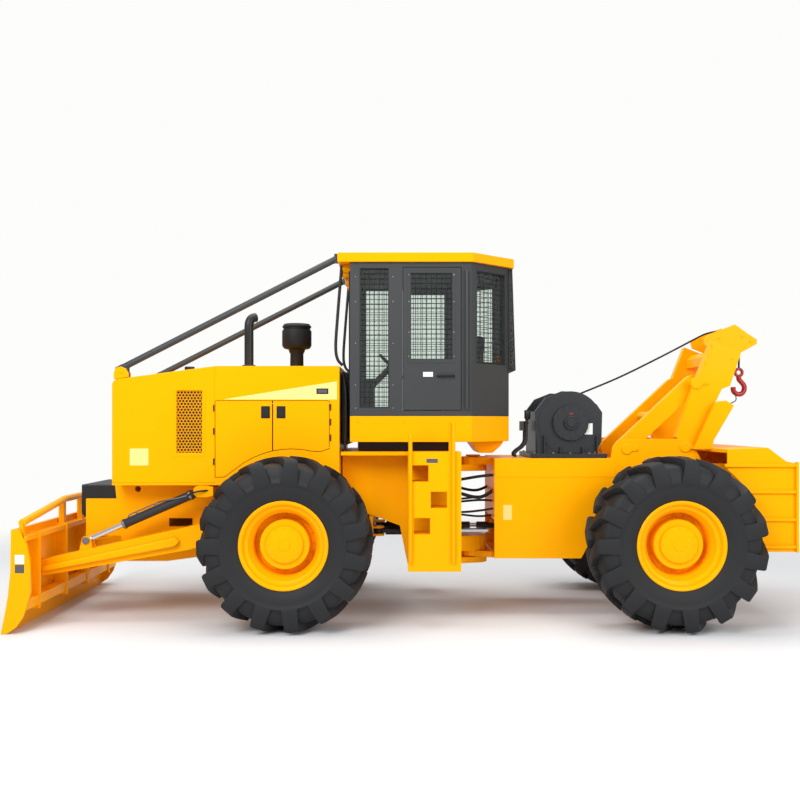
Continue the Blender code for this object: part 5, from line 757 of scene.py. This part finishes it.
for side, name in SIDES:
    door, y = "cab_door_" + name, side * GUARD_Y
    door_guard = mesh_guard(upright((0.052, y), (0.507, y), 2.826, 3.760), 8, 17)
    piece("door_window_guard_" + name, door_guard, door, *BLACK)
    surround = carved(block((0.022, 0.537), outward(side, CAB_Y, SURROUND_Y), (2.788, 3.795)),
                      block((0.052, 0.507), (-2, 2), (2.826, 3.760)))
    piece("door_window_surround_" + name, surround, door, "cab_graphite_powder_coat",
          "grey_paint", 0.002)
    grip = tube(curve([(x, side * y, 2.649) for x, y in GRIP], 5), 0.011, 12)
    piece("door_grip_" + name, grip, door, *PLASTIC)
    plate = block((0.190, 0.296), outward(side, 0.799, 0.8015), (2.640, 2.690))
    piece("blank_door_plate_" + name, plate, door, "blank_white_decal", "grey_paint")
    screws = [((x, side * SURROUND_Y, z), (0, side, 0)) for x in (0.036, 0.523)
              for z in (2.86, 3.12, 3.45, 3.74)]
    bolts("door_surround_screws_" + name, screws, 0.006, door)
liner = joined(block((-0.560, 0.740), (-0.755, 0.755), (3.822, 3.850)),
               block((0.740, 1.090), (-0.420, 0.420), (3.822, 3.850)))
piece("cab_headliner", liner, FRONT, *PLASTIC, 0.006)
# Lamps under the roof's front and rear edges
lens, shells = [], []
for y in (-0.62, -0.30, 0.30, 0.62):
    shells.append(disc((-0.668, y, 3.836), 0.050, (-0.045, 0.040), "x", 28, 0.006))
    lens.append(disc((-0.715, y, 3.836), 0.042, (-0.004, 0.004), "x", 28, 0.002))
piece("front_work_lamps", joined(*shells), FRONT, *PLASTIC)
piece("front_lamp_lenses", joined(*lens), FRONT, *LENS)
rear_lens = disc((1.196, -0.24, 3.845), 0.026, (-0.012, 0.014), "x", 24, 0.002)
piece("rear_lamp_lenses", both_sides(rear_lens), FRONT, *LENS)
# Bars before the windscreen's edges, from the roof to the hood
bar = curve([(-0.700, -0.66, 3.86), (-0.745, -0.66, 3.30), (-0.765, -0.66, 2.98),
             (-0.745, -0.66, 2.84), (-0.690, -0.66, 2.77)], 8)
piece("windscreen_guard_bars", both_sides(tube(bar, 0.017, 12)), FRONT, *BLACK)
# Hoses and a dark panel between the hood and the cab, and the pad under the cab
clutter = [block((-0.700, -0.640), (-0.62, 0.62), (1.90, 2.70))]
for i, y in enumerate((-0.70, -0.67, -0.74)):
    clutter.append(tube(curve([(-0.660, y, 1.84), (-0.672 + 0.012 * i, y, 2.15),
                               (-0.650, y, 2.45), (-0.680, y + 0.06, 2.68)], 8), 0.013, 10))
piece("cab_front_hoses", joined(*clutter), FRONT, *RUBBER)
under = block((-0.52, 0.50), (-0.58, 0.58), (1.832, 1.930))
piece("cab_mount_sound_pad", under, FRONT, *RUBBER, 0.004)
foot = prism([(0.730, 1.932), (1.110, 1.932), (1.080, 1.880), (0.985, 1.800), (0.830, 1.800)],
             -0.36, 0.36, "y")
piece("cab_rear_foot", foot, FRONT, *YELLOW, 0.006)
bolts("cab_skirt_bolts", [((x, side * 0.801, 2.150), (0, side, 0)) for side, _ in SIDES
                          for x in (-0.52, -0.02, 0.48)], 0.009, FRONT, *YELLOW)
bolts("quarter_frame_screws", [((x, side * 0.801, z), (0, side, 0)) for side, _ in SIDES
                               for x in (-0.540, -0.135) for z in (2.30, 2.55, 3.0, 3.45, 3.72)],
      0.006, FRONT)

# %% [markdown]
# ## Inside the cab

# %%


def cushion(name, shape):
    """A padded shape with well rounded edges."""
    made = piece(name, shape, FRONT, *CLOTH, 0.045, 5, 60)
    return made


base = cushion("seat_cushion", block((0.335, 0.840), (-0.245, 0.245), (2.400, 2.525)))
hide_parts("seat")
cushion("seat_back", prism([(0.735, 2.515), (0.862, 2.500), (0.922, 3.120), (0.812, 3.150)],
                           -0.235, 0.235, "y"))
rests = joined(both_sides(block((0.40, 0.78), (-0.330, -0.270), (2.66, 2.70))),
               block((0.44, 0.80), (-0.21, 0.21), (2.381, 2.405)))
piece("seat_armrests", rests, FRONT, *PLASTIC, 0.012)
consoles = joined(block((0.30, 0.60), (0.34, 0.52), (2.00, 2.62)),
                  block((-0.53, -0.37), (0.30, 0.55), (2.00, 2.55)),
                  tube([(0.40, 0.42, 2.62), (0.37, 0.42, 2.80)], 0.014, 12),
                  disc((0.37, 0.42, 2.82), 0.030, (-0.03, 0.03), "z", 20, 0.014))
piece("side_console_and_lever", consoles, FRONT, *PLASTIC, 0.010)

# %% [markdown]
# ## Blade and its cylinders

# %%
arm_box = prism([(-3.900, 0.600), (-2.470, 0.912), (-2.420, 0.868), (-2.470, 0.815),
                 (-3.900, 0.545)], -0.895, -0.838, "y")
piece("push_arm_boxes", both_sides(arm_box), "blade", *YELLOW, 0.016, 3)
for name, z, finish in (("blank_blade_plate", (0.716, 0.805), "blank_white_decal"),
                        ("blank_blade_plate_lower", (0.620, 0.706), "blank_grey_decal")):
    piece(name, both_sides(block((-3.956, -3.861), (-1.4012, -1.400), z)), "blade", finish,
          "yellow_paint")
# A lift cylinder's upper pin and its pin in the blade's lug
PIN, LUG = Vector((-2.232, 0.0, 1.400)), Vector((-3.450, 0.0, 0.870))
CYLINDER_Y = 0.75
lug_pin = disc((LUG.x, -0.815, LUG.z), 0.040, (-0.014, 0.010), "y", 28, 0.004)
piece("blade_lug_pins", both_sides(lug_pin), "blade", *STEEL)
edge_bolts = [((-4.058, -1.30 + 0.2 * i, 0.150), (-0.97, 0, 0.24)) for i in range(14)]
bolts("cutting_edge_bolts", edge_bolts, 0.014, "blade")
down = (LUG - PIN).normalized()
up = Vector((0, 1, 0)).cross(down)


def along(distance, rise, y):
    """A point beside a lift cylinder: metres from its upper pin, and above its middle."""
    return tuple(PIN + down * distance + up * rise + Vector((0, y, 0)))


# A pipe starts beside the barrel, so it stays under the frame when the blade is up.
# Points: distance from the pin, rise, distance out
PIPE = ((0.125, 0.010, 0.060), (0.220, 0.022, 0.058), (0.340, 0.048, 0.042),
        (0.460, 0.068, 0), (0.640, 0.070, 0), (0.800, 0.069, 0), (0.830, 0.045, 0))
pipes = []
for side, _ in SIDES:
    y = side * CYLINDER_Y
    pipes.append(tube(curve([along(d, r, y + side * out) for d, r, out in PIPE], 5), 0.008, 10))
    pipes += [tube([along(d, 0.0, y), along(d + 0.022, 0.0, y)], 0.056, 28) for d in (0.10, 0.880)]
    pipes += [tube([along(d, 0.045, y), along(d, 0.076, y)], 0.013, 12) for d in (0.50, 0.72)]
piece("lift_cylinder_pipes", joined(*pipes), "lift_barrels", *STEEL)
hose = tube(curve([(-2.130, -0.800, 1.410), (-2.215, -0.845, 1.405), (-2.300, -0.842, 1.385),
                   along(0.130, 0.010, -0.812)], 8), 0.010, 10)
line = piece("lift_cylinder_hoses", both_sides(hose), None, *RUBBER)
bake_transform(line)

# %% [markdown]
# ## Steps, pivot and hoses

# %%
rails = [tube(curve([(x, -1.104, 0.700), (x, -1.122, 0.735), (x, -1.122, 1.30),
                     (x, -1.122, top - 0.06), (x, -1.112, top - 0.015), (x, -1.085, top)], 6),
              0.019, 14) for x, top in ((0.050, 2.010), (0.500, 2.130))]
piece("step_hand_rails", both_sides(joined(*rails)), FRONT, *YELLOW, smooth=50)
piece("blank_step_plate", both_sides(block((0.216, 0.336), (-1.1012, -1.100), (1.722, 1.766))),
      FRONT, "blank_grey_decal", "yellow_paint")
# Pivot hoses: Y at the front and rear, heights along the run, radius
ROUTES = (
    (-0.36, -0.40, (1.47, 1.50, 1.54, 1.56), 0.017),
    (-0.30, -0.34, (1.40, 1.34, 1.30, 1.44), 0.020),
    (-0.24, -0.30, (1.22, 1.24, 1.26, 1.25), 0.013),
    (-0.33, -0.37, (1.16, 1.13, 1.15, 1.19), 0.013),
    (-0.20, -0.24, (1.10, 1.09, 1.07, 1.10), 0.012),
    (0.26, 0.30, (1.42, 1.37, 1.33, 1.42), 0.017),
    (0.34, 0.36, (1.26, 1.22, 1.24, 1.28), 0.013),
)
for i, (y0, y1, heights, radius) in enumerate(ROUTES):
    route = curve([(0.44, y0, heights[0]), (0.62, (3 * y0 + y1) / 4, heights[1]),
                   (0.86, (y0 + y1) / 2, heights[2]), (1.08, y1, heights[3])], 10)
    line = piece("pivot_hose_%d" % (i + 1), tube(route, radius, 12), None, *RUBBER, smooth=60)
    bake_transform(line)

# %% [markdown]
# ## Rear frame and winch

# %%
fold = block((0.992, 2.330), (-0.5545, -0.549), (1.540, 1.744))
piece("side_plate_folds", both_sides(fold), REAR, *YELLOW, 0.002)
piece("blank_frame_plate", both_sides(block((1.085, 1.180), (-0.5512, -0.550), (1.065, 1.230))),
      REAR, "blank_straw_decal", "yellow_paint")
HUB = (1.855, 0.0, 2.139)
COVER_Y, BOSS_RISE = 0.46, 0.030
for side, name in SIDES:
    face = (HUB[0], side * COVER_Y, HUB[2])
    raised = (HUB[0], side * (COVER_Y + BOSS_RISE), HUB[2])
    boss = [disc(face, radius, outward(side, 0.0, rise), "y", 36, 0.004)
            for radius, rise in ((0.078, BOSS_RISE), (0.050, 0.044))]
    guard = carved(disc((HUB[0], side * 0.405, HUB[2]), 0.357, outward(side, 0.0, 0.012),
                        "y", 72), block((1.0, 3.0), (-1, 1), (1.0, 1.80)))
    ribs = [block((x - 0.007, x + 0.007), outward(side, 0.408, 0.458), (1.79, top))
            for x, top in ((1.560, 2.00), (1.742, 1.87), (1.989, 1.87), (2.150, 2.00))]
    piece("winch_side_cover_" + name, joined(*boss, guard, *ribs), REAR,
          "winch_slate_enamel", "slate_paint", 0.002)
    ring = circle_spots(raised, 0.064, 8, side) + circle_spots(face, 0.175, 12, side)
    bolts("winch_cover_bolts_" + name, ring, 0.008, REAR, "worn_cast_steel", "cast_steel")
    plate = block((1.985, 2.105), outward(side, 0.4170, 0.4190), (2.010, 2.135))
    piece("blank_winch_plate_" + name, plate, REAR, "blank_white_decal", "slate_paint")
    mark = block((1.835, 1.880), outward(side, 0.459, 0.4612), (2.236, 2.250))
    piece("winch_fill_mark_" + name, mark, REAR, *RED)
# The rope's lay on the drum: one turn beside the other
TURNS, STEPS, PITCH, LAY_START_Y, LAY_RADIUS = 24, 28, 0.024, -0.288, 0.2345
coil = []
for i in range(TURNS * STEPS + 1):
    angle = 2 * pi * i / STEPS
    coil.append((HUB[0] + LAY_RADIUS * cos(angle), LAY_START_Y + PITCH * i / STEPS,
                 HUB[2] + LAY_RADIUS * sin(angle)))
piece("drum_rope_lay", tube(coil, 0.0112, 7), "winch_drum", *ROPE, smooth=60)
# The hoses drop to the deck close to the winch, clear of the cab in a full turn
DROP = ((1.374, 0.01, 2.02), (1.368, 0.02, 1.93), (1.330, 0.03, 1.872),
        (1.270, 0.04, 1.828), (1.238, 0.045, 1.790), (1.250, 0.05, 1.757))
hoses = []
for y, top in ((-0.32, 2.20), (-0.24, 2.15), (-0.12, 2.10)):
    route = [(1.405, y, top), (1.380, y, top - 0.04)] + [(x, y - out, z) for x, out, z in DROP]
    hoses.append(tube(curve(route, 9), 0.014, 12))
hoses.append(disc((1.385, -0.33, 2.235), 0.035, (-0.05, 0.05), "z", 24, 0.005))
hoses.append(block((1.352, 1.400), (-0.26, 0.10), (2.05, 2.16)))
piece("winch_hoses", joined(*hoses), REAR, *RUBBER, smooth=50)
bolts("winch_foot_bolts", [((x, side * 0.435, 1.796), (0, 0, 1)) for side, _ in SIDES
                           for x in (1.45, 1.66, 1.85, 2.06, 2.22)], 0.014, REAR)

# %% [markdown]
# ## Arch, hook and butt plate

# %%
# Pins of the arch and its struts: X, Z, the plate's outer Y, radius. Each has a keeper bar
ARCH_PINS = ((3.239, 2.584, 0.515, 0.066), (2.455, 1.850, 0.550, 0.058),
             (3.101, 1.872, 0.550, 0.058))
KEEPER = 0.012
pins = []
for x, z, y, radius in ARCH_PINS:
    pins.append(disc((x, -y, z), radius, (-0.016, 0.0), "y", 36, 0.004))
    pins.append(block((x + 0.020, x + radius + 0.070), (-y - KEEPER, -y), (z - 0.022, z + 0.022)))
piece("arch_pin_heads", both_sides(joined(*pins)), REAR, *YELLOW, 0.003)
spots = [((x + 0.105, side * (y + KEEPER), z), (0, side, 0)) for x, z, y, _ in ARCH_PINS
         for side, _ in SIDES]
spots += [((x, side * 0.231, z), (0, side, 0)) for side, _ in SIDES
          for x, z in ((3.595, 3.115), (3.860, 3.130), (3.955, 3.070))]
spots += [((x, side * 0.516, z), (0, side, 0)) for side, _ in SIDES
          for x, z in ((3.340, 2.80), (3.375, 2.90), (3.410, 3.00), (3.640, 2.86))]
bolts("arch_bolts", spots, 0.013, REAR, *YELLOW)
EYE = Vector((3.910, 0.0, 2.730))
ring = [(x, 0.0, z) for x, z in arc(EYE.x, EYE.z, 0.042, [2 * pi * i / 24 for i in range(25)])]
bend = [(EYE.x + x, 0.0, z) for x, z in (
    (0, 2.688), (0.004, 2.650), (0.030, 2.618), (0.062, 2.575), (0.062, 2.520),
    (0.030, 2.480), (-0.020, 2.479), (-0.058, 2.510), (-0.066, 2.560))]
shank = disc(tuple(EYE), 0.024, (-0.062, -0.030), "z", 20, 0.004)
hook = piece("swivel_hook", joined(tube(ring, 0.018, 12), tube(curve(bend, 6), 0.029, 14), shank),
             REAR, *RED, smooth=50)
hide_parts("choker_hook")
tether = tube(curve([(EYE.x - 0.050, 0.0, 2.500), (3.80, -0.20, 2.44), (3.70, -0.45, 2.39),
                     (3.58, -0.59, 2.35)], 8), 0.006, 8)
piece("hook_tether", tether, REAR, *ROPE)
# The rope leaves the drum's top, passes over the roller and ends in the hook's eye
wrap = [(x, 0.0, z) for x, z in arc(HUB[0], HUB[2], 0.246, map(radians, range(168, 113, -6)))]
run = wrap + curve([(x, 0.0, z) for x, z in (
    (1.762, 2.3666), (2.070, 2.490), (2.518, 2.678), (3.000, 2.915), (3.380, 3.113),
    (3.530, 3.184), (3.680, 3.212), (3.800, 3.190), (3.885, 3.125), (3.912, 3.040),
    (3.912, 2.772))], 8)
rope = piece("main_rope", tube(run, 0.011, 10), REAR, *ROPE, smooth=60)
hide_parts("winch_rope")
# Butt plate: deck, plate, ribs, side panels that clear the tyres, and the leaning posts
FOOT_Z = 0.790
# Ribs: height, and where the side rib starts
RIBS = ((0.845, 3.740), (1.130, 3.715), (1.420, 3.590), (1.6955, 3.335))
DECK = [(3.360, 1.865), (3.790, 1.882), (3.980, 1.740), (4.090, 1.715)]
deck = prism(DECK + [(x, z - 0.04) for x, z in DECK[::-1]], -1.085, 1.085, "y")
bars = [block((4.010, 4.050), (-1.085, 1.085), (FOOT_Z, 1.720))]
bars += [block((4.030, 4.099), (-1.090, 1.090), (z - 0.018, z + 0.018)) for z, _ in RIBS]
TYRE_CLEARANCE = 0.950
arc_line = arc(REAR_AXLE_X, WHEEL_Z, TYRE_CLEARANCE, map(radians, range(52, -7, -6)))
panel = prism([(3.366, 1.862)] + arc_line + [(3.727, FOOT_Z), (4.080, FOOT_Z)] + DECK[:0:-1],
              -1.100, -1.080, "y")
inner = prism([(3.730, FOOT_Z), (4.030, FOOT_Z), (4.030, 1.700), (3.790, 1.860),
               (3.730, 1.860)], -0.585, -0.5503, "y")
side_bars = [block((4.072, 4.100), (-1.140, -1.086), (FOOT_Z, 1.732))]
side_bars += [block((start, 4.080), (-1.128, -1.096), (z - 0.016, z + 0.016)) for z, start in RIBS]
POST = [(3.181, 1.850), (3.409, 2.349), (3.455, 2.380), (3.529, 2.386), (3.612, 2.330),
        (3.390, 1.949), (3.377, 1.850)]
post = prism(POST, -0.640, -0.560, "y")
bumper = piece("butt_plate_weldment",
               joined(deck, *bars, both_sides(joined(panel, inner, *side_bars, post))),
               REAR, *YELLOW, 0.004)
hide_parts("butt_plate")

# %% [markdown]
# ## Studio, light and camera
#
# A pale floor, three soft boxes and a white background. The camera looks across the side.

# %%
FLOOR_HALF = 30.0
# The floor fades into the white background between these distances
FADE = (6.0, 11.0)
floor = bpy.data.objects.new("studio_floor", bpy.data.meshes.new("studio_floor"))
floor.data.from_pydata([(x * FLOOR_HALF, y * FLOOR_HALF, 0) for x, y in
                        ((-1, -1), (1, -1), (1, 1), (-1, 1))], [], [(0, 1, 2, 3)])
matt = bpy.data.materials.new("matt_white_studio_floor")
tree = empty_tree(matt)
place = add_node(tree, "ShaderNodeTexCoord")
reach = add_node(tree, "ShaderNodeVectorMath", {0: place.outputs["Object"]}, operation="LENGTH")
fade = add_node(tree, "ShaderNodeMapRange", {
    "Value": reach.outputs["Value"], "From Min": FADE[0], "From Max": FADE[1]},
    interpolation_type="SMOOTHSTEP")
paper = add_node(tree, "ShaderNodeBsdfDiffuse", {"Color": hex_colour("D8DADC")})
clear = add_node(tree, "ShaderNodeBsdfTransparent")
blend = add_node(tree, "ShaderNodeMixShader", {0: fade.outputs[0], 1: paper.outputs[0],
                                               2: clear.outputs[0]})
add_node(tree, "ShaderNodeOutputMaterial", {"Surface": blend.outputs[0]})
floor.data.materials.append(matt)
scene.collection.objects.link(floor)

scene.world = bpy.data.worlds.new("white_studio")
tree = empty_tree(scene.world)
path = add_node(tree, "ShaderNodeLightPath")
seen = add_node(tree, "ShaderNodeMath", {0: path.outputs["Is Camera Ray"],
                                         1: path.outputs["Is Transmission Ray"]},
                operation="MAXIMUM")
wide = add_node(tree, "ShaderNodeBackground", {"Color": hex_colour("FFFFFF"), "Strength": 0.62})
back = add_node(tree, "ShaderNodeBackground", {"Color": hex_colour("FDFDFB"), "Strength": 1.0})
pick = add_node(tree, "ShaderNodeMixShader", {0: seen.outputs[0], 1: wide.outputs[0],
                                              2: back.outputs[0]})
add_node(tree, "ShaderNodeOutputWorld", {"Surface": pick.outputs[0]})


def soft_box(name, at, target, size, watts):
    """A large area lamp aimed at a point."""
    lamp = bpy.data.lights.new(name, "AREA")
    lamp.shape, lamp.size, lamp.size_y, lamp.energy = "RECTANGLE", size[0], size[1], watts
    made = bpy.data.objects.new(name, lamp)
    made.location = at
    made.rotation_euler = (Vector(target) - Vector(at)).to_track_quat("-Z", "Y").to_euler()
    scene.collection.objects.link(made)


soft_box("key_soft_box", (-5.0, -9.0, 8.0), (0, 0, 1.2), (6, 5), 900)
soft_box("fill_soft_box", (6.5, -8.0, 5.0), (0.5, 0, 1.2), (5, 4), 380)
soft_box("top_soft_box", (0.0, 0.5, 9.5), (0, 0, 1.0), (10, 6), 700)

camera_data = bpy.data.cameras.new("studio_camera")
camera = bpy.data.objects.new("studio_camera", camera_data)
camera_data.lens, camera_data.sensor_width = 39.15, 36.0
camera_data.shift_y = 0.0275
camera.location = (-0.06, -10.2, 2.15)
camera.rotation_euler = (radians(90), 0, 0)
scene.collection.objects.link(camera)
scene.camera = camera
scene.view_settings.view_transform = "Standard"
